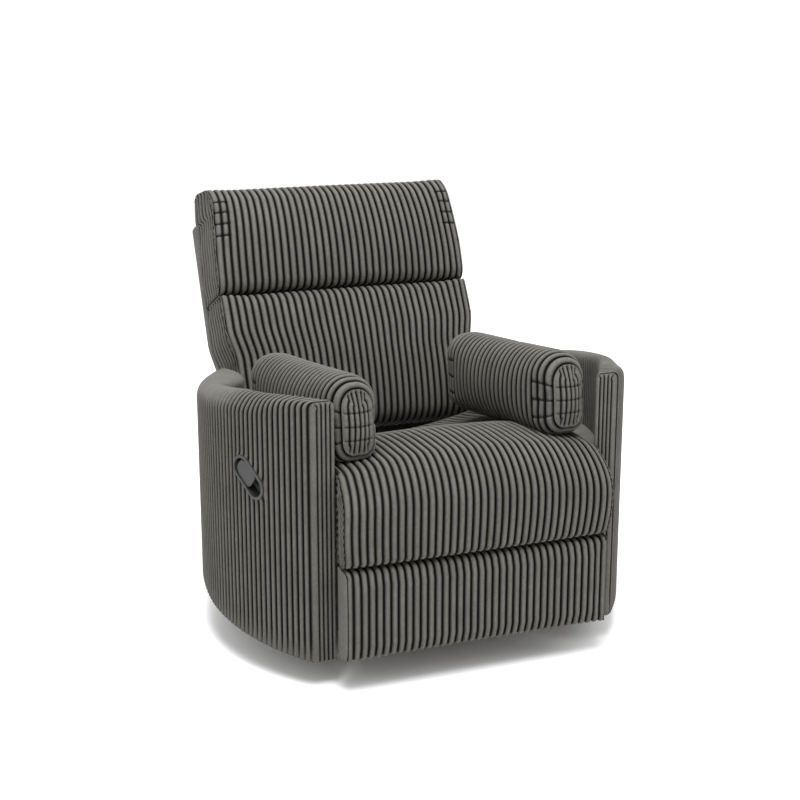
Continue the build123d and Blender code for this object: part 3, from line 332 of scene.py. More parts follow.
@dataclass(frozen=True)
class Padding:
    """How a stuffed piece swells under cloth simulation."""

    fill: float
    pressure: float = 3.0
    cap: float = 0.022
    spacing: float = 0.016
    stiffness: float = 12.0
    bending: float = 0.6
    mass: float = 0.25
    damping: float = 4.0
    quality: int = 4

    def swell(self, cage: Piece) -> Array:
        """Runs the cloth simulation on a cage, with its held points pinned.

        Args:
            cage: closed mesh object with a vertex group named held.

        Returns:
            Where the cage's vertices end.
        """
        cloth = cage.modifiers.new("cloth", "CLOTH")
        values = {"quality": self.quality, "mass": self.mass,
                  "tension_stiffness": self.stiffness, "compression_stiffness": self.stiffness,
                  "shear_stiffness": self.stiffness / 3, "bending_stiffness": self.bending,
                  "air_damping": self.damping, "use_pressure": True,
                  "uniform_pressure_force": self.pressure, "vertex_group_mass": "held",
                  "pin_stiffness": 1.0}
        for key, value in values.items():
            setattr(cloth.settings, key, value)
        cloth.settings.effector_weights.gravity = 0.0
        cloth.collision_settings.use_collision = False
        cloth.point_cache.frame_start = 1
        cloth.point_cache.frame_end = CLOTH_FRAMES
        for number in range(1, CLOTH_FRAMES + 1):
            bpy.context.scene.frame_set(number)
        swollen = cage.evaluated_get(bpy.context.evaluated_depsgraph_get())
        end = read_points(swollen)
        bpy.context.scene.frame_set(1)
        return end


@dataclass
class Upholstered(ABC):
    """A closed upholstered piece: a box grid that shape() bends into place and ribs() covers."""

    name: str = "piece"
    replaced: tuple = ()
    body: str = "carrier"
    slot_name: str = "plush_ribbed"
    padding: Padding | None = None
    rib_depth: float = 0.0072

    @abstractmethod
    def axes(self) -> tuple:
        """Places of the grid lines on the three axes."""

    @abstractmethod
    def shape(self, at: Spots) -> Array:
        """Where points of the flat-sided box lie on the finished piece."""

    @abstractmethod
    def ribs(self, at: Spots) -> tuple:
        """Place across the ribs, place along them, rib height, and share of the full depth."""

    def pinned(self, at: Spots) -> Array:
        """Share, from 0 to 1, by which each point is held while the piece swells."""
        return np.zeros(len(at.u))

    def finish_points(self, points: Array, at: Spots) -> Array:
        """Last changes to the points after the ribs."""
        return points

    def spots(self, made: Piece, axes: tuple) -> tuple:
        """Reads which grid lines each vertex of a box grid lies on.

        Args:
            made: a box grid that still has its corners at 0 and 1.
            axes: places of the grid lines on the three axes.

        Returns:
            The numbers of the lines, and the points' places on the flat-sided box.
        """
        counts = np.array([len(axis) - 1 for axis in axes])
        steps = np.rint(read_points(made) * counts).astype(int)
        return steps, Spots(*(axes[i][steps[:, i]] for i in range(3)))

    def build(self) -> Piece:
        """Makes the piece, swollen and ribbed.

        Returns:
            The finished object, riding on its body.
        """
        axes = self.axes()
        made = box_grid(self.name, tuple(len(axis) - 1 for axis in axes))
        at = self.spots(made, axes)[1]
        points = self.shape(at)
        if self.padding:
            points = points + self.swelling(axes, at)
        write_points(made, points)
        turn_outwards(made)
        across, along, height, share = self.ribs(at)
        points = points + read_normals(made) * (self.rib_depth * share * (height - 1))[:, None]
        write_points(made, self.finish_points(points, at))
        write_lay(made, across, along, 1 - (1 - height) * np.clip(share, 0, 1))
        made.data.polygons.foreach_set("use_smooth", np.ones(len(made.data.polygons), bool))
        if self.replaced:
            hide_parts(*self.replaced)
        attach(made, self.body)
        LOG.info("%s: %d faces", self.name, len(made.data.polygons))
        return made

    def swelling(self, axes: tuple, at: Spots) -> Array:
        """Simulates the cover under pressure on a coarse cage.

        Args:
            axes: places of the fine grid lines.
            at: the fine grid's points on the flat-sided box.

        Returns:
            How far each fine point moves.
        """
        coarse = tuple(even_axis(axis[0], axis[-1], self.padding.spacing) for axis in axes)
        cage = box_grid(self.name + "_cage", tuple(len(axis) - 1 for axis in coarse))
        steps, corners = self.spots(cage, coarse)
        start = self.shape(corners)
        write_points(cage, start)
        held = cage.vertex_groups.new(name="held")
        for number, weight in enumerate(self.pinned(corners)):
            held.add([number], float(weight), "REPLACE")
        move = self.padding.swell(cage) - start
        mesh = cage.data
        bpy.data.objects.remove(cage)
        bpy.data.meshes.remove(mesh)
        length = np.linalg.norm(move, axis=1, keepdims=True)
        LOG.info("%s: swells by %.1f mm at most", self.name, 1000 * length.max())
        move = move * np.minimum(1.0, self.padding.cap / np.maximum(length, 1e-9))
        moves = np.zeros((*(len(axis) for axis in coarse), 3))
        moves[steps[:, 0], steps[:, 1], steps[:, 2]] = move
        return read_between(moves, coarse, at)


@dataclass
class SeatCushion(Upholstered):
    """Seat cushion, ribbed from front to back and down its waterfall front."""

    name: str = "seat_cushion_cover"
    replaced: tuple = ("seat_cushion",)
    padding: Padding = Padding(fill=0.85)
    half: float = 0.3
    front: float = -0.5605
    rear: float = 0.157
    low: float = 0.2812
    high: float = 0.479
    radii: tuple = (0.018, 0.0, 0.038, 0.085)
    pitch: float = 0.0162
    # Slanting ribs of the side panels.
    side_pitch: float = 0.017
    side_slant: float = -1.1
    side_sharpness: float = 1.5
    side_depth: float = 0.95
    # Widths of the bands that are held beside the sides, the bottom and the rear.
    held: tuple = (0.006, 0.02, 0.03)
    # The seat box below it, whose front corners it wraps, and the arms beside it.
    frame_top: float = 0.3266
    frame_front: float = -0.5013
    frame_side: float = 0.2915
    arm_front: float = -0.489
    arm_gap: float = 0.2905
    # The crest behind the rounded front edge, and the fall of the side edges from it.
    crest: float = -0.33
    crest_band: tuple = (-0.43, -0.23)
    crest_cut: float = 0.003
    front_fall: tuple = (0.008, 0.231)
    rear_fall: tuple = (0.085, 0.488)
    # The middle above the side edges: full in front, hollow at the rear.
    crown: float = 0.027
    crown_power: float = 1.3
    sink: float = 0.072
    sink_band: tuple = (-0.42, 0.14)
    # The front face and the side seams.
    face_band: tuple = (0.50, 0.54)
    face_bulge: float = 0.010
    face_curve: float = 0.004
    side_bulge: float = 0.032
    seam: float = 0.006

    def axes(self) -> tuple:
        """Sets out the grid, closer where the piece bends.

        Returns:
            Grid lines across, from front to back, and upwards.
        """
        depth = [even_axis(self.front, -0.5035, 0.003), [-0.4995, -0.491, -0.4885],
                 even_axis(-0.482, -0.42, 0.008), even_axis(-0.40, 0.11, 0.02),
                 even_axis(0.12, self.rear, 0.007)]
        return (ribbed_axis(-self.half, self.half, self.pitch), np.concatenate(depth),
                even_axis(self.low, self.high, 0.003))

    def edge_height(self, y: Array) -> Array:
        """Height of the seat's side edges.

        Args:
            y: depth of each point.

        Returns:
            The height there.
        """
        front = self.high - self.front_fall[0] * np.clip(
            (self.crest - y) / self.front_fall[1], 0, None)
        rear = self.high - self.rear_fall[0] * np.clip(
            (y - self.crest) / self.rear_fall[1], 0, None)
        blend = smooth(y, *self.crest_band)
        return front * (1 - blend) + rear * blend - self.crest_cut * (1 - (2 * blend - 1) ** 2)

    def surface(self, x: Array, y: Array) -> Array:
        """Height of the seat's top.

        Args:
            x: place of each point across the seat.
            y: depth of each point.

        Returns:
            The height there.
        """
        side = np.clip(np.abs(x) / self.half, 0, 1)
        crown = self.crown - self.sink * smooth(y, *self.sink_band)
        return self.edge_height(y) + crown * (1 - side ** 2)

    def over_frame(self, u: Array, y: Array) -> Array:
        """Where the seat box is below, and not beside the corners that wrap its front end."""
        return (y > self.frame_front) & ((np.abs(u) < self.frame_side) | (y > self.arm_front))

    def shape(self, at: Spots) -> Array:
        """Waterfall section, crowned across.

        Args:
            at: points of the flat-sided box.

        Returns:
            Their places on the cushion.
        """
        u, v, w = at
        y, z = round_corners(v, w, (self.front, self.low), (self.rear, self.high), self.radii)
        share = np.clip((z - self.low) / (self.high - self.low), 0, 1)
        side = np.clip(np.abs(u) / self.half, 0, 1)
        z = z + (self.surface(u, y) - self.high) * share ** self.crown_power
        seam = self.seam * smooth(side, SEAM_START, 1.0) ** 2
        z = z - seam * share
        ahead = smooth(-v, *self.face_band)
        y = y - self.face_bulge * np.sin(np.pi * share) * ahead
        y = y + (self.face_curve * side ** 2 + seam) * ahead
        z = np.where(self.over_frame(u, v), np.maximum(z, self.frame_top + 0.001), z)
        belly = np.sin(np.pi * np.clip(share * 0.9 + 0.1, 0, 1))
        x = u * (1 + self.side_bulge * belly * ahead)
        limit = np.where(v > self.arm_front, self.arm_gap - 0.001, 1.0)
        return np.stack([np.clip(x, -limit, limit), y, z], 1)

    def pinned(self, at: Spots) -> Array:
        """The bottom, the sides and the rear are held.

        Args:
            at: points of the flat-sided box.

        Returns:
            The share by which each is held.
        """
        side = smooth(np.abs(at.u), self.half - self.held[0], self.half)
        low = smooth(-at.w, -self.low - self.held[1], -self.low)
        rear = smooth(at.v, self.rear - self.held[2], self.rear)
        return np.clip(side + low + rear, 0, 1)

    def ribs(self, at: Spots) -> tuple:
        """Ribs from front to back, and slanting ribs on the side panels.

        Args:
            at: points of the flat-sided box.

        Returns:
            Place across the ribs, place along them, rib height, and share of the full depth.
        """
        u, v, w = at
        side = np.abs(u) >= self.half - TINY
        slanted = w + self.side_slant * (v - self.front)
        sharp = rib_height(slanted, self.low, self.low + 10 * self.side_pitch,
                           self.side_pitch) ** self.side_sharpness
        height = np.where(side, sharp, rib_height(u, -self.half, self.half, self.pitch))
        rim = np.minimum(np.minimum(w - self.low, self.high - w), v - self.front)
        share = np.where(side, self.side_depth * smooth(rim, 0.0, RIM_BAND), 1.0)
        seen = smooth(-v, -self.rear + 0.002, -self.rear + HIDDEN_BAND)
        share = share * (HIDDEN_DEPTH + (1 - HIDDEN_DEPTH) * seen)
        return np.where(side, slanted, u), np.where(side, v, v + w), height, share

    def finish_points(self, points: Array, at: Spots) -> Array:
        """Keeps the cushion between the arms and above its frame.

        Args:
            points: the ribbed points.
            at: the same points on the flat-sided box.

        Returns:
            The corrected points.
        """
        x, y, z = points.T
        x = np.where(y > self.arm_front, np.clip(x, -self.arm_gap, self.arm_gap), x)
        z = np.where(self.over_frame(at.u, y), np.maximum(z, self.frame_top), z)
        return np.stack([x, y, z], 1)


@dataclass(frozen=True)
class BackFrame:
    """The tilted frame of the backrest: its origin and its directions."""

    origin: tuple = (0.0, 0.3894, 0.498)
    tilt: float = math.radians(24.0)

    def up(self) -> Array:
        """Direction up the backrest."""
        return np.array([0.0, math.sin(self.tilt), math.cos(self.tilt)])

    def forward(self) -> Array:
        """Direction out of the backrest's front."""
        return np.array([0.0, -math.cos(self.tilt), math.sin(self.tilt)])

    def place(self, x: Array, up: Array, forward: Array) -> Array:
        """Places points given across, up and forward of the backrest."""
        return (np.array([self.origin]) + up[:, None] * self.up() + forward[:, None]
                * self.forward() + x[:, None] * np.array([1.0, 0.0, 0.0]))


BACK = BackFrame()


@dataclass
class BackCushion(Upholstered):
    """A cushion of the backrest, ribbed upwards."""

    body: str = "backrest"
    padding: Padding = Padding(fill=0.85)
    half: float = 0.312
    low: float = 0.0
    high: float = 0.3
    rear: float = 0.0290
    depth: float = 0.2
    radii: tuple = (0.0, 0.0, 0.0, 0.0)
    end_radii: tuple = (0.0, 0.0, 0.0, 0.0)
    end_band: tuple = (0.7, 0.98)
    crown: float = 0.014
    slimming: float = 0.06
    seam: float = 0.007
    # How far the sides bulge above the arms, and less so towards the top.
    widening: float = 0.015
    widening_start: tuple = (-0.03, 0.06)
    widening_end: tuple = (0.2, 0.42)
    # Short rows of stitches near the sides.
    stitch_rows: tuple = ()
    stitch_width: float = 0.0026
    stitch_depth: float = 0.55
    stitch_ends: tuple = (0.045, 0.03)
    # Gathered cloth on the ends: pitch, then size and rate of its sway and of its gathers.
    cap_pitch: float = 0.028
    cap_depth: float = 0.75
    cap_sway: tuple = (0.004, 70.0)
    cap_ruffle: tuple = (0.45, 420.0)
    # Widths of the bands that are held beside the sides, the rear and the crease.
    held: tuple = (0.006, 0.02, 0.05)

    def axes(self) -> tuple:
        """Sets out the grid, closer where the piece bends.

        Returns:
            Grid lines across, upwards, and forwards.
        """
        rows = [row + step for row in self.stitch_rows for step in (-0.004, -0.0015, 0.0015, 0.004)]
        up = np.unique(np.round(np.concatenate([even_axis(self.low, self.high, 0.009), rows]), 5))
        return (ribbed_axis(-self.half, self.half), up, even_axis(self.rear, self.depth, 0.0042))

    def shape(self, at: Spots) -> Array:
        """Rounded section with a crown across, its crease shallow at the ends.

        Args:
            at: points of the flat-sided box.

        Returns:
            Their places on the cushion.
        """
        u, v, w = at
        corners = (self.low, self.rear), (self.high, self.depth)
        side = np.clip(np.abs(u) / self.half, 0, 1)
        end = smooth(side, *self.end_band)
        middle = round_corners(v, w, *corners, self.radii)
        outer = round_corners(v, w, *corners, self.end_radii)
        up, forward = (a * (1 - end) + b * end for a, b in zip(middle, outer))
        share = (forward - self.rear) / (self.depth - self.rear)
        along = (v - self.low) / (self.high - self.low)
        full = 1 - self.slimming * np.abs(2 * along - 1) ** 2
        seam = self.seam * smooth(side, SEAM_START, 1.0) ** 2
        forward = self.rear + (forward - self.rear) * full
        forward = forward - (self.crown * side ** 2 + seam) * share ** 2
        wide = self.widening * smooth(v, *self.widening_start)
        wide = wide * (1 - 0.75 * smooth(v, *self.widening_end))
        return BACK.place(u * (1 + wide / self.half), up, forward)

    def pinned(self, at: Spots) -> Array:
        """The rear, the side seams and the faces at the crease are held.

        Args:
            at: points of the flat-sided box.

        Returns:
            The share by which each is held.
        """
        side = smooth(np.abs(at.u), self.half - self.held[0], self.half)
        rear = smooth(-at.w, -self.rear - self.held[1], -self.rear)
        reach = (self.high - self.low) / 2
        rim = smooth(np.abs(at.v - (self.low + self.high) / 2), reach - self.held[2], reach - 0.01)
        return np.clip(side + rear + rim, 0, 1)

    def ribs(self, at: Spots) -> tuple:
        """Ribs upwards over the cushion, and gathered upright ribs on its ends.

        Args:
            at: points of the flat-sided box.

        Returns:
            Place across the ribs, place along them, rib height, and share of the full depth.
        """
        u, v, w = at
        end = np.abs(u) >= self.half - TINY
        lean = w + self.cap_sway[0] * np.sin(v * self.cap_sway[1])
        gathers = 0.5 + 0.5 * np.sin(v * self.cap_ruffle[1])
        ruffle = smooth(w, self.depth - 0.06, self.depth - 0.01) * gathers
        cap = rib_height(lean, self.rear, self.depth, self.cap_pitch)
        height = np.where(end, cap * (1 - self.cap_ruffle[0] * ruffle),
                          rib_height(u, -self.half, self.half))
        rim = np.minimum(np.minimum(v - self.low, self.high - v), self.depth - w)
        seen = smooth(w, self.rear, self.rear + HIDDEN_BAND)
        share = np.where(end, self.cap_depth * smooth(rim, 0.0, RIM_BAND),
                         HIDDEN_DEPTH + (1 - HIDDEN_DEPTH) * seen)
        near = smooth(np.abs(u), *(self.half - place for place in self.stitch_ends)) * ~end
        height = press_stitches(height, v, self.stitch_rows, self.stitch_width,
                                self.stitch_depth * near)
        return np.where(end, w, u), np.where(end, v, v + w), height, share


@dataclass
class HeadRoll(BackCushion):
    """Upper roll of the backrest, wrapped over the top of its frame."""

    name: str = "head_roll_cover"
    replaced: tuple = ("head_cushion",)
    low: float = 0.151
    high: float = 0.4265
    depth: float = 0.213
    radii: tuple = (0.0, 0.060, 0.086, 0.028)
    end_radii: tuple = (0.0, 0.066, 0.066, 0.028)
    stitch_rows: tuple = (0.292, 0.322, 0.352, 0.382)
    wrap: float = 0.036
    wrap_band: tuple = (0.352, 0.368)
    lift: float = 0.026
    lift_start: float = 0.32
    reach: float = 0.15     # how far forward of its rear face both are felt

    def shape(self, at: Spots) -> Array:
        """The cushion's section, with its top pulled over the frame.

        Args:
            at: points of the flat-sided box.

        Returns:
            Their places on the roll.
        """
        _, v, w = at
        behind = 1 - smooth(w, self.rear + 0.02, self.rear + self.reach)
        wrap = self.wrap * behind * smooth(v, *self.wrap_band)
        lift = self.lift * (1 - smooth(w, self.rear, self.rear + self.reach))
        lift = lift * smooth(v, self.lift_start, self.high)
        return super().shape(at) - wrap[:, None] * BACK.forward() + lift[:, None] * BACK.up()


@dataclass
class LumbarCushion(BackCushion):
    """Lower cushion of the backrest, tucked down behind the seat."""

    name: str = "lumbar_cover"
    replaced: tuple = ("lumbar_cushion",)
    low: float = -0.163
    high: float = 0.1465
    depth: float = 0.214
    radii: tuple = (0.0, 0.07, 0.042, 0.060)
    end_radii: tuple = (0.0, 0.05, 0.012, 0.050)
    tuck: float = 0.045
    tuck_start: float = -0.07

    def shape(self, at: Spots) -> Array:
        """The cushion's section, with its lower front tucked down behind the seat.

        Args:
            at: points of the flat-sided box.

        Returns:
            Their places on the cushion.
        """
        down = smooth(at.w, self.rear + 0.025, self.rear + 0.07)
        down = self.tuck * down * smooth(-at.v, -self.tuck_start, -self.low)
        return super().shape(at) - down[:, None] * BACK.up()


@dataclass
class FootrestPad(Upholstered):
    """Pad on the footrest board, ribbed upwards, with flaps round the board's edges."""

    name: str = "footrest_cover"
    replaced: tuple = ("footrest_pad",)
    body: str = "footrest"
    padding: Padding = Padding(fill=0.8, pressure=1.2, cap=0.007)
    half: float = 0.304
    low: float = 0.0765
    high: float = 0.2757
    front: float = -0.556
    rear: float = -0.5213
    pitch: float = 0.0164
    edge_radii: tuple = (0.013, 0.002, 0.002, 0.013)
    side_radii: tuple = (0.009, 0.009, 0.002, 0.002)
    board_side: float = 0.2935
    board_rear: float = -0.5055
    board_low: float = 0.082
    board_high: float = 0.2692

    def axes(self) -> tuple:
        """Sets out the grid, closer where the piece bends.

        Returns:
            Grid lines across, from front to back, and upwards.
        """
        depth = np.append(even_axis(self.front, self.rear, 0.0036), self.board_rear)
        up = np.concatenate([[self.low, 0.0812], even_axis(0.0845, 0.2665, 0.0065),
                             [0.27, self.high]])
        return ribbed_axis(-self.half, self.half, self.pitch), depth, up

    def over_board(self, at: Spots) -> Array:
        """Where the board is behind the pad, and not beside its flaps."""
        return (np.abs(at.u) < self.board_side) & (at.w > self.board_low) & (
            at.w < self.board_high)

    def shape(self, at: Spots) -> Array:
        """Flat pad with round front edges.

        Args:
            at: points of the flat-sided box.

        Returns:
            Their places on the pad.
        """
        y, z = round_corners(at.v, at.w, (self.front, self.low), (self.board_rear, self.high),
                             self.edge_radii)
        x, y = round_corners(at.u, y, (-self.half, self.front), (self.half, self.board_rear),
                             self.side_radii)
        y = np.where(self.over_board(at), np.minimum(y, self.rear), y)
        return np.stack([x, y, z], 1)

    def pinned(self, at: Spots) -> Array:
        """The rear is held."""
        return smooth(at.v, self.front + 0.008, self.rear)

    def finish_points(self, points: Array, at: Spots) -> Array:
        """Keeps the flaps outside the board's edges and the rear in front of it.

        Args:
            points: the ribbed points.
            at: the same points on the flat-sided box.

        Returns:
            The corrected points.
        """
        x, y, z = points.T
        flap = (at.v > self.rear - 0.001) & (np.abs(at.u) >= self.board_side)
        x = np.where(flap, np.sign(at.u) * np.maximum(np.abs(x), self.board_side), x)
        y = np.where(self.over_board(at), np.minimum(y, self.rear), y)
        return np.stack([x, y, z], 1)

    def ribs(self, at: Spots) -> tuple:
        """Ribs upwards, and none on the ends and the rear.

        Args:
            at: points of the flat-sided box.

        Returns:
            Place across the ribs, place along them, rib height, and share of the full depth.
        """
        u, v, w = at
        plain = (np.abs(u) >= self.half - TINY) | (v >= self.rear - TINY)
        height = rib_height(u, -self.half, self.half, self.pitch)
        return u, w - v, height, np.where(plain, 0.0, 1.0)


@dataclass
class ArmPillow(Upholstered):
    """Loose box pillow beside an arm, ribbed round its length."""

    side: Side = Side.LEFT
    padding: Padding = Padding(fill=0.7, cap=0.014)
    half_length: float = 0.243
    half_width: float = 0.058
    height: float = 0.189
    radii: tuple = (0.040, 0.040, 0.054, 0.054)
    pitch: float = 0.0195
    end_round: float = 0.066
    end_narrow: float = 0.50
    end_low: float = 0.34
    end_bulge: float = 0.016
    stitch_rows: tuple = (0.045, 0.085, 0.125)
    stitch_width: float = 0.0028
    stitch_depth: float = 0.5
    stitched_ribs: float = 3.0
    face_depth: float = 0.8
    rear_fullness: float = 0.5
    slope: float = math.radians(-5.3)
    # Where the middle of each pillow's underside lies, and how far the pillow turns in plan.
    middles: tuple = ((-0.261, -0.233, 0.452), (0.228, -0.233, 0.462))
    turns: tuple = (math.radians(4.6), math.radians(3.5))

    def __post_init__(self) -> None:
        """Names the pillow after its side."""
        word = self.side.name.lower()
        self.name = "arm_pillow_" + word + "_cover"
        self.replaced = ("arm_pillow_" + word,)
        self.body = "pillow_" + word

    def axes(self) -> tuple:
        """Sets out the grid, closer where the piece bends.

        Returns:
            Grid lines across, along, and upwards.
        """
        return (even_axis(-self.half_width, self.half_width, 0.0032),
                ribbed_axis(-self.half_length, self.half_length, self.pitch),
                even_axis(0.0, self.height, 0.0040))

    def shape(self, at: Spots) -> Array:
        """Rounded box, fullest in the middle, turned into place.

        Args:
            at: points of the flat-sided box.

        Returns:
            Their places on the pillow.
        """
        u, v, w = at
        x, z = round_corners(u, w, (-self.half_width, 0.0), (self.half_width, self.height),
                             self.radii)
        ahead = np.clip(1 - (self.half_length - np.abs(v)) / self.end_round, 0, 1)
        close = 1 - np.sqrt(1 - 0.96 * ahead ** 2)
        close = close * np.where(v > 0, self.rear_fullness, 1.0)
        middle = 0.48 * self.height
        x = x * (1 - self.end_narrow * close)
        z = middle + (z - middle) * (1 - self.end_low * close)
        bulge = np.clip(1 - (u / self.half_width) ** 2, 0, 1) * smooth(ahead, 0.9, 1.0)
        bulge = self.end_bulge * bulge * np.clip(1 - ((w - middle) / middle) ** 2, 0, 1)
        v = v + np.sign(v) * bulge
        index = int(self.side is Side.RIGHT)
        turn = self.turns[index]
        along = v * math.cos(self.slope) - z * math.sin(self.slope)
        up = v * math.sin(self.slope) + z * math.cos(self.slope)
        across = x * math.cos(turn) - along * math.sin(turn)
        along = x * math.sin(turn) + along * math.cos(turn)
        return np.stack([across, along, up], 1) + np.array([self.middles[index]])

    def pinned(self, at: Spots) -> Array:
        """The seams round both ends are held."""
        return 0.85 * smooth(np.abs(at.v), self.half_length - 0.004, self.half_length)

    def ribs(self, at: Spots) -> tuple:
        """Ribs round the length, crossed by seams near the ends, and upright end ribs.

        Args:
            at: points of the flat-sided box.

        Returns:
            Place across the ribs, place along them, rib height, and share of the full depth.
        """
        u, v, w = at
        end = np.abs(v) >= self.half_length - TINY
        start = self.half_length - self.stitched_ribs * self.pitch
        near = smooth(np.abs(v), start - 0.2 * self.pitch, start)
        body = press_stitches(rib_height(v, -self.half_length, self.half_length, self.pitch),
                              w, self.stitch_rows, self.stitch_width, self.stitch_depth * near)
        face = press_stitches(rib_height(u, -self.half_width, self.half_width, self.pitch),
                              w, self.stitch_rows, self.stitch_width, self.stitch_depth)
        rim = np.minimum(self.half_width - np.abs(u), np.minimum(w, self.height - w))
        share = np.where(end, self.face_depth * smooth(rim, 0.0, 0.008), 1.0)
        return np.where(end, u, v), np.where(end, w, u + w), np.where(end, face, body), share

    def finish_points(self, points: Array, at: Spots) -> Array:
        """Flattens the underside on the seat and on the arm's inner ledge.

        Args:
            points: the ribbed points.
            at: the same points on the flat-sided box; not used.

        Returns:
            The corrected points.
        """
        x, y, z = points.T
        seat = SeatCushion()
        on_seat = np.abs(x) < seat.half - 0.004
        z = np.where(on_seat, np.maximum(z, seat.surface(x, y) + 0.002), z)
        return np.stack([x, y, np.maximum(z, ArmDeck.top + 0.001)], 1)


# ------------------------------------------------------------------ curved arms
@dataclass(frozen=True)
class ArmPlan:
    """Plan of the curved arm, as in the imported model."""

    centre_y: float = -0.152
    outer_r: float = 0.4865
    wall: float = 0.058
    front_y: float = -0.4875
    spread: float = math.radians(15.7)
    rear_r: float = 1.8
    rear_y: float = 0.289
    inner_x: float = 0.2922
    # Beside the backrest the inner face stands further out.
    back_y: float = 0.151
    back_x: float = 0.3262

    def path(self) -> tuple:
        """Outer line of the arm from the front to the rear.

        Returns:
            Length along the line, points and inward directions.
        """
        start = math.asin((self.front_y - self.centre_y) / self.outer_r)
        angles = np.linspace(start, self.spread, 400)
        points = [np.stack([np.cos(angles), np.sin(angles)], 1) * self.outer_r]
        inward = [-np.stack([np.cos(angles), np.sin(angles)], 1)]
        shift = self.rear_r - self.outer_r
        centre = -shift * np.array([math.cos(self.spread), math.sin(self.spread)])
        last = math.asin((self.rear_y - self.centre_y - centre[1]) / self.rear_r)
        angles = np.linspace(self.spread, last, 300)[1:]
        rear = np.stack([np.cos(angles), np.sin(angles)], 1)
        points.append(centre[None, :] + rear * self.rear_r)
        inward.append(-rear)
        line = np.concatenate(points) + np.array([[0.0, self.centre_y]])
        steps = np.linalg.norm(np.diff(line, axis=0), axis=1)
        return np.concatenate([[0.0], np.cumsum(steps)]), line, np.concatenate(inward)

    def top(self, y: Array) -> Array:
        """Height of the arm's top at a depth y."""
        return np.interp(y, [-0.488, -0.288, 0.290], [0.6265, 0.6155, 0.5285])

    def bottom(self, y: Array) -> Array:
        """Height of the arm's lower edge at a depth y."""
        return np.interp(y, [-0.488, -0.172, 0.290], [0.0595, 0.0975, 0.1815])


@dataclass(frozen=True)
class HandleRim:
    """Slanting oval rim of the release handle in the left arm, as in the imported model."""

    length: float = 0.108
    width: float = 0.054
    turn: float = math.radians(24.0)
    slope: float = math.radians(-40.0)
    arm_r: float = 0.487
    centre: tuple = (0.0, -0.152, 0.439)

    def directions(self) -> tuple:
        """Directions along the rim, across it and out of the arm.

        Returns:
            Three unit vectors.
        """
        out = np.array([-math.cos(self.turn), -math.sin(self.turn), 0.0])
        ahead = np.array([math.sin(self.turn), -math.cos(self.turn), 0.0])
        along = ahead * math.cos(self.slope) + np.array([0.0, 0.0, math.sin(self.slope)])
        return along, np.cross(out, along), out


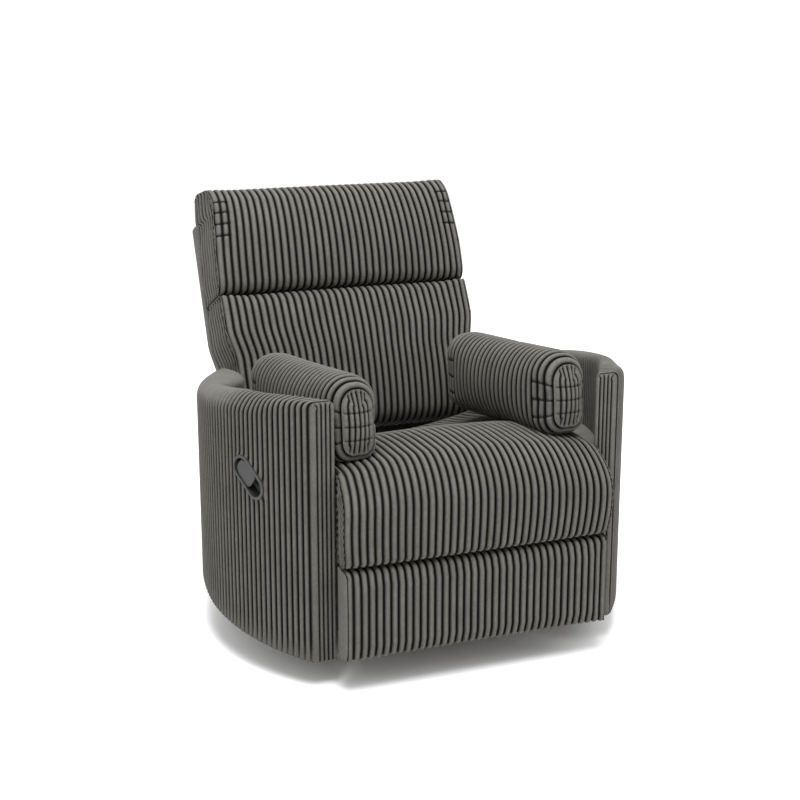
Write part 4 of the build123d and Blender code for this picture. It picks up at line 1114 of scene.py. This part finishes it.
@dataclass
class CurvedArm(Upholstered):
    """Curved arm wall with upright ribs that wrap over its top near the front."""

    side: Side = Side.LEFT
    rib_depth: float = 0.0055
    pitch: float = 0.0146
    front_pitch: float = 0.0145
    front_depth: float = 0.9
    under_depth: float = 0.3
    front_round: float = 0.010
    # Corner radii of the top: tight in front, then soft, and broader again at the rear.
    crisp: tuple = (0.0, 0.0, 0.012, 0.016)
    soft: tuple = (0.0, 0.0, 0.018, 0.036)
    broad: tuple = (0.0, 0.0, 0.018, 0.024)
    soft_band: tuple = (-0.47, -0.33)
    broad_band: tuple = (-0.2, 0.1)
    # Fall of the top: everywhere, outwards, and more outwards near the front.
    falls: tuple = (0.002, 0.002, 0.008)
    fall_band: tuple = (-0.32, -0.10)
    # Where the ribs fade out on the top.
    fade_band: tuple = (-0.38, -0.2)
    fade: float = 0.9
    # Where the wall turns from the straight front to the curve, along its outer line.
    turn_length: float = 0.11
    rear_thickening: float = 0.045
    back_from: float = 0.12
    rows: tuple = ((0.0, 0.56, 0.08), (0.56, 0.9, 0.03), (0.9, 1.0, 0.0125))
    handle_rows: tuple = (0.56, 0.81, 0.0057)
    # The pocket for the release handle: overlap of its rim, sink of its edge, and depth.
    lap: float = 0.0012
    lip: float = -0.0005
    pocket: float = -0.044
    # Beside the rim: reach of the points that slide on to it, and where the pile dips to it.
    slide_reach: float = 0.0024
    dip: float = 0.6
    dip_band: tuple = (0.002, 0.010)
    plan: ArmPlan = ArmPlan()
    handle: HandleRim = HandleRim()
    line: tuple = field(init=False)

    def __post_init__(self) -> None:
        """Names the arm after its side and lays out its plan."""
        word = self.side.name.lower()
        self.name = "arm_" + word + "_cover"
        self.replaced = ("arm_" + word,)
        self.line = self.plan.path()

    def axes(self) -> tuple:
        """Sets out the grid, closer where the piece bends.

        Returns:
            Grid lines across the wall, along it, and upwards.
        """
        rows = self.rows + ((self.handle_rows,) if self.side is Side.LEFT else ())
        heights = np.unique(np.round(np.concatenate([even_axis(*row) for row in rows]), 5))
        along = ribbed_axis(-self.pitch / 2, self.line[0][-1], self.pitch, NARROW_RIB_STEPS)
        wall, half = self.plan.wall, self.front_pitch / 2
        across = ribbed_axis(-half, wall + half, self.front_pitch, NARROW_RIB_STEPS)
        across = across[(across > 1e-4) & (across < wall - 1e-4)]
        return (np.concatenate([[0.0], across, [wall]]),
                np.concatenate([[0.0], along[along > 1e-4]]), heights)

    def section(self, u: Array, z: Array, y: Array, top: Array) -> tuple:
        """Rounds the top of the wall, tightly at the front and softly behind it.

        Args:
            u: place of each point across the wall, from its outer face.
            z: its height before rounding.
            y: its depth.
            top: height of the wall's top there.

        Returns:
            The place across the wall and the height, both rounded.
        """
        corners = (0.0, -0.6), (self.plan.wall, 0.0)
        crisp, soft, broad = (round_corners(u, z - top, *corners, radii)
                              for radii in (self.crisp, self.soft, self.broad))
        share, behind = smooth(y, *self.soft_band), smooth(y, *self.broad_band)
        inner, z = (a * (1 - share) + (b * (1 - behind) + c * behind) * share
                    for a, b, c in zip(crisp, soft, broad))
        outward = 1 - u / self.plan.wall
        ahead = 1 - smooth(y, *self.fall_band)
        fall = self.falls[0] + (self.falls[1] + self.falls[2] * ahead) * outward
        return inner, z - fall * share * smooth(z, -0.12, 0.0) + top

    def shape(self, at: Spots) -> Array:
        """Wall section carried along the plan.

        Args:
            at: points of the flat-sided box.

        Returns:
            Their places on the arm.
        """
        u, v, w = at
        length, line, inward = self.line
        x, y = (np.interp(v, length, line[:, axis]) for axis in range(2))
        turn = smooth(v, 0.0, self.turn_length)
        inward_x = np.interp(v, length, inward[:, 0]) * turn - (1 - turn)
        inward_y = np.interp(v, length, inward[:, 1]) * turn
        top, bottom = self.plan.top(y), self.plan.bottom(y)
        inner, z = self.section(u, bottom + w * (top - bottom), y, top)
        ahead = np.clip(1 - v / self.front_round, 0, 1)
        pull = self.front_round * (1 - np.sqrt(1 - ahead ** 2))
        half = self.plan.wall / 2
        inner = half + (inner - half) * (1 - pull / half)
        z = z - pull * smooth(w, 0.95, 1.0)
        thick = 1 + self.rear_thickening / self.plan.wall * smooth(y, -0.14, 0.08)
        least = np.where(y > self.back_from, self.plan.back_x, self.plan.inner_x)
        x = np.maximum(x + inward_x * inner * thick, least)
        return np.stack([x * self.side.value, y + inward_y * inner * thick, z], 1)

    def ribs(self, at: Spots) -> tuple:
        """Upright ribs, also on the front end, that fade on the top towards the rear.

        Args:
            at: points of the flat-sided box.

        Returns:
            Place across the ribs, place along them, rib height, and share of the full depth.
        """
        u, v, w = at
        end = v <= TINY
        wall, half = self.plan.wall, self.front_pitch / 2
        body = rib_height(v, -self.pitch / 2, self.line[0][-1], self.pitch)
        face = rib_height(u, -half, wall + half, self.front_pitch)
        behind = smooth(np.interp(v, self.line[0], self.line[1][:, 1]), *self.fade_band)
        fade = 1 - self.fade * smooth(w, 0.975 - 0.09 * behind, 0.992) * behind
        edge = smooth(np.minimum(u, wall - u), 0.0, 0.002)
        share = np.where(end, self.front_depth * edge, np.where(w <= TINY, self.under_depth, fade))
        return np.where(end, u, v), np.where(end, w, w * 0.55 + u), np.where(end, face, body), share

    def finish_points(self, points: Array, at: Spots) -> Array:
        """Presses a pocket into the left arm and laps its pile over the handle's rim.

        Args:
            points: the ribbed points.
            at: the same points on the flat-sided box.

        Returns:
            The corrected points.
        """
        if self.side is not Side.LEFT:
            return points
        handle, reach = self.handle, self.slide_reach
        long, wide, out = handle.directions()
        away = points - (out * handle.arm_r + np.array(handle.centre))
        x, y, depth = away @ long, away @ wide, away @ out
        over = np.clip(np.abs(x) - (handle.length - handle.width) / 2, 0, None)
        radius = np.maximum(np.hypot(over, y), 1e-9)
        edge = radius - handle.width / 2 + self.lap
        near = (at.u <= TINY) & (edge < 0.02) & (depth < 0.03)
        goal = depth + self.dip * (self.lip - depth) * (1 - smooth(edge, *self.dip_band))
        goal = np.where(edge < -reach, self.pocket, goal)
        press = np.where(near, goal - depth, 0.0)
        slide = np.where(near & (np.abs(edge) < reach), -edge, 0.0)
        along, aside = np.sign(x) * over / radius * slide, y / radius * slide
        return points + press[:, None] * out + along[:, None] * long + aside[:, None] * wide


@dataclass
class ArmDeck(Upholstered):
    """Plain inner part of an arm, from the seat box out to the curved wall."""

    side: Side = Side.LEFT
    rib_depth: float = 0.0
    top: float = 0.4245
    seat_x: float = 0.2915
    wall_gap: float = 0.022
    edge_fall: float = 0.006
    plan: ArmPlan = ArmPlan()

    def __post_init__(self) -> None:
        """Names the deck after its side."""
        self.name = "arm_" + self.side.name.lower() + "_deck"

    def axes(self) -> tuple:
        """Grid lines: across, from front to back, and upwards."""
        return (even_axis(0.0, 1.0, 0.06), even_axis(-0.470, self.plan.rear_y, 0.015),
                even_axis(0.0, 1.0, 0.05))

    def shape(self, at: Spots) -> Array:
        """Fills the plan between the seat box and the wall, up to the ledge.

        Args:
            at: points of the flat-sided box.

        Returns:
            Their places on the deck.
        """
        u, v, w = at
        line = self.plan.path()[1]
        inner = np.where(v > self.plan.back_y, self.plan.back_x, self.seat_x)
        outer = np.interp(v, line[:, 1], line[:, 0]) - self.wall_gap
        edge = smooth(u, 0.0, 0.12) * smooth(-u, -1.0, -0.88)
        bottom = self.plan.bottom(v) + 0.002
        top = self.top - self.edge_fall * (1 - edge)
        x = inner + u * np.maximum(outer - inner, 0.002)
        return np.stack([x * self.side.value, v, bottom + w * (top - bottom)], 1)

    def ribs(self, at: Spots) -> tuple:
        """No ribs: plain cloth."""
        whole = np.ones(len(at.u))
        return at.u, at.v, whole, whole


@dataclass
class BackPanel(Upholstered):
    """Ribbed rear cover of the backrest, wrapped round the edge of its frame."""

    name: str = "outer_back_cover"
    replaced: tuple = ("outer_back",)
    body: str = "backrest"
    slot_name: str = "plush_plain"
    rib_depth: float = 0.003
    half: float = 0.3155
    low: float = -0.214
    high: float = 0.366
    depth: float = 0.0285
    front_limit: float = 0.0095
    bracket_top: float = -0.166
    corner: float = 0.006
    edge_round: float = 0.012
    rib_band: tuple = (0.004, 0.014)
    widening: float = 0.014
    widening_start: tuple = (-0.03, 0.06)

    def axes(self) -> tuple:
        """Grid lines: across, upwards, and forwards."""
        return (even_axis(-self.half, self.half, 0.0047), even_axis(self.low, self.high, 0.0075),
                even_axis(0.0005, self.depth, 0.004))

    def rim(self, at: Spots) -> Array:
        """Distance from the panel's nearest edge."""
        return np.minimum(self.half - np.abs(at.u), np.minimum(at.v - self.low, self.high - at.v))

    def shape(self, at: Spots) -> Array:
        """Thin panel with round corners, thinner in front of the brackets.

        Args:
            at: points of the flat-sided box.

        Returns:
            Their places on the panel.
        """
        u, v, w = at
        x, up = round_corners(u, v, (-self.half, self.low), (self.half, self.high),
                              (self.corner,) * 4)
        x = x * (1 + self.widening * smooth(v, *self.widening_start) / self.half)
        rear = self.corner * (1 - smooth(self.rim(at), 0.0, self.edge_round)) * (w < 0.001)
        keep = np.where(v < self.bracket_top, np.minimum(w, self.front_limit), w)
        return BACK.place(x, up, keep + rear)

    def ribs(self, at: Spots) -> tuple:
        """Ribs upwards on the rear face."""
        share = np.where(at.w < 0.001, smooth(self.rim(at), *self.rib_band), 0.0)
        return at.u, at.v, rib_height(at.u, -self.half, self.half), share


@dataclass
class RearApron(Upholstered):
    """Ribbed panel below the backrest."""

    name: str = "rear_apron_cover"
    replaced: tuple = ("rear_apron",)
    slot_name: str = "plush_plain"
    rib_depth: float = 0.003
    half: float = 0.3255
    front: float = 0.2583
    rear: float = 0.2758
    low: float = 0.1753
    high: float = 0.2857
    corner: float = 0.006

    def axes(self) -> tuple:
        """Grid lines: across, from front to back, and upwards."""
        return (even_axis(-self.half, self.half, 0.0047), even_axis(self.front, self.rear, 0.003),
                even_axis(self.low, self.high, 0.0055))

    def shape(self, at: Spots) -> Array:
        """Flat panel with round edges."""
        low, high = (self.front, self.low), (self.rear, self.high)
        return np.stack([at.u, *round_corners(at.v, at.w, low, high, (self.corner,) * 4)], 1)

    def ribs(self, at: Spots) -> tuple:
        """Upright ribs."""
        share = np.where(np.abs(at.u) >= self.half - TINY, 0.0, 1.0)
        return at.u, at.w, rib_height(at.u, -self.half, self.half), share


# ------------------------------------------------------------------ finishes
def new_material(name: str) -> tuple:
    """An empty node material with a Principled shader.

    Args:
        name: name of the material.

    Returns:
        The material, its node tree and its Principled node.
    """
    material = bpy.data.materials.new(name)
    material.use_nodes = True
    tree = material.node_tree
    return material, tree, tree.nodes["Principled BSDF"]


def node(tree: Tree, kind: str, **values: object) -> bpy.types.Node:
    """A new node with its properties and inputs set, or fed by sockets.

    Args:
        tree: the tree that gets the node.
        kind: the node's type, without ShaderNode.
        values: properties by name, and inputs as in_NAME with underscores for spaces.

    Returns:
        The new node.
    """
    made = tree.nodes.new("ShaderNode" + kind)
    for name, value in values.items():
        if not name.startswith("in_"):
            setattr(made, name, value)
        elif isinstance(value, Socket):
            tree.links.new(value, made.inputs[name[3:].replace("_", " ")])
        else:
            made.inputs[name[3:].replace("_", " ")].default_value = value
    return made


def math_node(tree: Tree, operation: str, first: Socket, second: Socket | float,
              clamp: bool = False) -> Socket:
    """A Math node fed by sockets or numbers.

    Args:
        tree: the tree that gets the node.
        operation: name of the operation.
        first: the first value's socket.
        second: socket or number.
        clamp: whether the result is kept from 0 to 1.

    Returns:
        The result's socket.
    """
    made = node(tree, "Math", operation=operation, use_clamp=clamp)
    tree.links.new(first, made.inputs[0])
    if isinstance(second, Socket):
        tree.links.new(second, made.inputs[1])
    else:
        made.inputs[1].default_value = second
    return made.outputs[0]


def mix_colour(tree: Tree, share: Socket, first: Socket | tuple,
               second: Socket | tuple) -> Socket:
    """A Mix node for colours.

    Args:
        tree: the tree that gets the node.
        share: socket that gives 0 for the first colour and 1 for the second.
        first: socket or colour.
        second: socket or colour.

    Returns:
        The mixed colour's socket.
    """
    made = node(tree, "Mix", data_type="RGBA")
    for number, value in ((0, share), (6, first), (7, second)):
        if isinstance(value, Socket):
            tree.links.new(value, made.inputs[number])
        else:
            made.inputs[number].default_value = value
    return made.outputs[2]


def new_group(name: str, inputs: dict, outputs: tuple) -> tuple:
    """An empty shader node group of numbers.

    Args:
        name: name of the group.
        inputs: socket names and their default numbers.
        outputs: socket names.

    Returns:
        The group, its input node and its output node.
    """
    group = bpy.data.node_groups.new(name, "ShaderNodeTree")
    for label, value in inputs.items():
        socket = group.interface.new_socket(name=label, in_out="INPUT",
                                            socket_type="NodeSocketFloat")
        socket.default_value = value
    for label in outputs:
        group.interface.new_socket(name=label, in_out="OUTPUT", socket_type="NodeSocketFloat")
    return group, group.nodes.new("NodeGroupInput"), group.nodes.new("NodeGroupOutput")


def pile_group() -> Tree:
    """Cut pile: fine tufts, coarser mottling and brushed patches.

    Returns:
        The group, with Shade and Height outputs.
    """
    group, start, end = new_group("cut_pile", {"Tuft": 520.0, "Patch": 14.0, "Depth": 1.0},
                                  ("Shade", "Height"))
    place = node(group, "TexCoord").outputs["Object"]
    fine, patch, middle = (
        node(group, "TexNoise", in_Vector=place, in_Scale=scale, in_Detail=detail,
             in_Roughness=rough).outputs[0]
        for scale, detail, rough in ((start.outputs["Tuft"], 3.0, 0.6),
                                     (start.outputs["Patch"], 4.0, 0.65), (150.0, 4.0, 0.7)))
    shade = math_node(group, "ADD", math_node(group, "MULTIPLY", fine, 0.42),
                      math_node(group, "MULTIPLY", middle, 0.45))
    shade = math_node(group, "ADD", shade, math_node(group, "MULTIPLY", patch, 0.35))
    height = math_node(group, "ADD", math_node(group, "MULTIPLY", fine, 0.6),
                       math_node(group, "MULTIPLY", middle, 0.8))
    group.links.new(math_node(group, "SUBTRACT", shade, 0.12), end.inputs["Shade"])
    group.links.new(math_node(group, "MULTIPLY", height, start.outputs["Depth"]),
                    end.inputs["Height"])
    return group


def wear_group() -> Tree:
    """Fine scuffs and dust for hard finishes.

    Returns:
        The group, with Scuff and Dust outputs.
    """
    group, start, end = new_group("scuffs", {"Scale": 40.0}, ("Scuff", "Dust"))
    place = node(group, "TexCoord").outputs["Object"]
    scuff = node(group, "TexNoise", in_Vector=place, in_Scale=start.outputs["Scale"],
                 in_Detail=8.0, in_Roughness=0.7)
    dust = node(group, "TexNoise", in_Vector=place, in_Scale=6.0, in_Detail=5.0)
    group.links.new(scuff.outputs[0], end.inputs["Scuff"])
    group.links.new(dust.outputs[0], end.inputs["Dust"])
    return group


def set_shader(tree: Tree, shader: bpy.types.Node, **values: object) -> None:
    """Sets or links inputs of a Principled node.

    Args:
        tree: the material's tree.
        shader: its Principled node.
        values: numbers, colours or sockets by input name, with underscores for spaces.
    """
    for name, value in values.items():
        target = shader.inputs[name.replace("_", " ")]
        if isinstance(value, Socket):
            tree.links.new(value, target)
        else:
            target.default_value = value


@dataclass(frozen=True)
class RibbedPlush:
    """Dark warm grey plush in wide ribs, with painted shade in the rib valleys."""

    name: str = "ribbed_plush"
    crest: tuple = (0.126, 0.123, 0.110, 1.0)
    flank: tuple = (0.058, 0.056, 0.050, 1.0)
    # near-black painted shade for the rib valleys, standing in for the shadow between the ribs
    painted_valley_shade: tuple = (0.0022, 0.0022, 0.0019, 1.0)
    sheen: tuple = (0.75, 0.74, 0.7, 1.0)
    # rib height below which the valleys take the full painted shade
    painted_shade_height: float = 0.38

    def make(self, pile: Tree) -> bpy.types.Material:
        """Builds the material.

        Args:
            pile: the cut pile group.

        Returns:
            The material.
        """
        material, tree, shader = new_material(self.name)
        lay = node(tree, "Attribute", attribute_name=LAY_ATTRIBUTE)
        split = node(tree, "SeparateXYZ", in_Vector=lay.outputs["Vector"])
        tufts = node(tree, "Group", node_tree=pile)
        body = math_node(tree, "MULTIPLY", tufts.outputs["Shade"], 2.2)
        cloth = mix_colour(tree, math_node(tree, "ADD", body, -0.6, clamp=True), self.flank,
                           self.crest)
        # painted shade: the colour darkens towards the painted valley shade as the rib height falls
        valley_shade_mask = node(tree, "MapRange", interpolation_type="SMOOTHSTEP", in_Value=split.outputs[2],
                    in_From_Min=self.painted_shade_height, in_From_Max=1.0)
        bump = node(tree, "Bump", in_Strength=0.55, in_Distance=0.0012,
                    in_Height=tufts.outputs["Height"])
        set_shader(tree, shader, Base_Color=mix_colour(tree, valley_shade_mask.outputs[0], self.painted_valley_shade, cloth),
                   Roughness=0.9, Specular_IOR_Level=0.05, Sheen_Weight=0.06,
                   Sheen_Roughness=0.45, Sheen_Tint=self.sheen, Normal=bump.outputs["Normal"])
        return material


@dataclass(frozen=True)
class HardFinish:
    """Painted, plated or moulded surface with fine scuffs."""

    name: str
    colour: tuple
    worn: tuple
    metallic: float
    roughness: tuple
    bump: float
    scale: float

    def make(self, wear: Tree) -> bpy.types.Material:
        """Builds the material.

        Args:
            wear: the scuffs group.

        Returns:
            The material.
        """
        material, tree, shader = new_material(self.name)
        scuffs = node(tree, "Group", node_tree=wear, in_Scale=self.scale)
        scuff = scuffs.outputs["Scuff"]
        sharp = node(tree, "MapRange", in_Value=scuff, in_From_Min=0.42, in_From_Max=0.68)
        rough = node(tree, "MapRange", in_Value=scuffs.outputs["Dust"],
                     in_To_Min=self.roughness[0], in_To_Max=self.roughness[1])
        bump = node(tree, "Bump", in_Strength=self.bump, in_Distance=0.0004, in_Height=scuff)
        set_shader(tree, shader, Metallic=self.metallic, Roughness=rough.outputs[0],
                   Base_Color=mix_colour(tree, sharp.outputs[0], self.colour, self.worn),
                   Normal=bump.outputs["Normal"])
        return material


@dataclass(frozen=True)
class Plywood:
    """Raw plywood and softwood of the frames."""

    name: str = "plywood"
    light: tuple = (0.52, 0.36, 0.20, 1.0)
    dark: tuple = (0.34, 0.21, 0.11, 1.0)
    stretch: tuple = (40.0, 3.0, 40.0)

    def make(self) -> bpy.types.Material:
        """Builds the material.

        Returns:
            The material.
        """
        material, tree, shader = new_material(self.name)
        place = node(tree, "TexCoord").outputs["Object"]
        stretch = node(tree, "Mapping", in_Vector=place, in_Scale=self.stretch)
        grain = node(tree, "TexNoise", in_Vector=stretch.outputs[0], in_Scale=4.0, in_Detail=6.0,
                     in_Distortion=0.6).outputs[0]
        bump = node(tree, "Bump", in_Strength=0.2, in_Distance=0.0005, in_Height=grain)
        set_shader(tree, shader, Base_Color=mix_colour(tree, grain, self.dark, self.light),
                   Roughness=0.75, Normal=bump.outputs["Normal"])
        return material


HARD_FINISHES = {
    "steel_black": HardFinish("black_powder_coat", (0.018, 0.018, 0.019, 1.0),
                              (0.035, 0.034, 0.033, 1.0), 0.0, (0.34, 0.6), 0.35, 400.0),
    "steel_bright": HardFinish("zinc_plating", (0.55, 0.55, 0.56, 1.0),
                               (0.40, 0.40, 0.40, 1.0), 1.0, (0.25, 0.5), 0.1, 90.0),
    "plastic_black": HardFinish("moulded_plastic", (0.02, 0.02, 0.021, 1.0),
                                (0.03, 0.03, 0.03, 1.0), 0.0, (0.5, 0.7), 0.3, 600.0),
    "handle_dark": HardFinish("handle_plastic", (0.013, 0.013, 0.0125, 1.0),
                              (0.024, 0.024, 0.023, 1.0), 0.0, (0.42, 0.6), 0.12, 500.0),
}


class Finishes:
    """Every material of the object, made once."""

    def __init__(self) -> None:
        """Makes the node groups and the materials."""
        pile, wear = pile_group(), wear_group()
        self.plush = RibbedPlush().make(pile)
        self.by_slot = {slot: finish.make(wear) for slot, finish in HARD_FINISHES.items()}
        self.by_slot["wood"] = Plywood().make()

    def dress(self, made: Piece, material: bpy.types.Material) -> None:
        """Gives one material to a whole piece."""
        made.data.materials.clear()
        made.data.materials.append(material)

    def dress_frame(self, record: dict) -> None:
        """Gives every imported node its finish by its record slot.

        Args:
            record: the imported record.
        """
        for row in record["subparts"]:
            material = self.by_slot.get(row["material_slot"], self.plush)
            self.dress(frame["nodes"][row["node"]], material)


# ------------------------------------------------------------------ studio
@dataclass(frozen=True)
class Softbox:
    """A square area light aimed at the chair."""

    place: tuple
    size: float
    power: float
    aim: tuple = (0.0, -0.1, 0.45)

    def build(self) -> None:
        """Makes the light."""
        data = bpy.data.lights.new("softbox", "AREA")
        data.size = self.size
        data.energy = self.power
        lamp = bpy.data.objects.new("softbox", data)
        lamp.location = self.place
        aim = Vector(self.aim) - Vector(self.place)
        lamp.rotation_euler = aim.to_track_quat("-Z", "Y").to_euler()
        bpy.context.scene.collection.objects.link(lamp)


@dataclass
class Studio:
    """Pale floor, soft light and the camera at the photograph's angle."""

    camera_place: tuple = (-1.2691, -3.2938, 1.4093)
    azimuth: float = math.radians(-21.607)
    elevation: float = math.radians(14.790)
    lens: float = 68.474
    sensor: float = 36.0
    floor_size: float = 40.0
    floor_shades: tuple = ((0.91, 0.91, 0.91, 1.0), (0.94, 0.94, 0.94, 1.0))
    surround: float = 1.09
    softboxes: tuple = (Softbox((-0.6, -1.8, 3.6), 1.6, 140.0),
                        Softbox((2.6, -2.0, 2.6), 1.8, 25.0),
                        Softbox((-0.2, 0.4, 3.4), 2.0, 75.0))

    def build(self) -> None:
        """Makes the camera, the floor and the lights."""
        self.camera()
        self.floor()
        self.surroundings()
        for softbox in self.softboxes:
            softbox.build()

    def camera(self) -> None:
        """Camera at the photograph's angle."""
        a, e = self.azimuth, self.elevation
        back = Vector((math.sin(a) * math.cos(e), -math.cos(a) * math.cos(e), math.sin(e)))
        data = bpy.data.cameras.new("camera")
        data.lens = self.lens
        data.sensor_width = self.sensor
        camera = bpy.data.objects.new("camera", data)
        camera.location = self.camera_place
        camera.rotation_euler = (-back).to_track_quat("-Z", "Y").to_euler()
        bpy.context.scene.collection.objects.link(camera)
        bpy.context.scene.camera = camera

    def floor(self) -> None:
        """Large pale floor."""
        bm = bmesh.new()
        bmesh.ops.create_grid(bm, x_segments=2, y_segments=2, size=self.floor_size)
        made = link_mesh("studio_floor", bm)
        material, tree, shader = new_material("pale_floor")
        noise = node(tree, "TexNoise", in_Scale=3.0)
        set_shader(tree, shader, Roughness=0.9,
                   Base_Color=mix_colour(tree, noise.outputs[0], *self.floor_shades))
        made.data.materials.append(material)

    def surroundings(self) -> None:
        """White surround, shown as it is."""
        world = bpy.data.worlds.new("surround")
        world.use_nodes = True
        background = world.node_tree.nodes["Background"]
        background.inputs["Color"].default_value = (1.0, 1.0, 1.0, 1.0)
        background.inputs["Strength"].default_value = self.surround
        bpy.context.scene.world = world
        bpy.context.scene.view_settings.view_transform = "Standard"


def main() -> None:
    """Builds every piece, dresses it and sets up the studio."""
    logging.basicConfig(level=logging.INFO, format="%(message)s")
    finishes = Finishes()
    finishes.dress_frame(frame["record"])
    pieces = [SeatCushion(), HeadRoll(), LumbarCushion(), FootrestPad()]
    pieces += [kind(side=side) for kind in (ArmPillow, CurvedArm, ArmDeck) for side in Side]
    pieces += [BackPanel(), RearApron()]
    for piece in pieces:
        finishes.dress(piece.build(), finishes.plush)
    Studio().build()


if __name__ == "__main__":
    main()
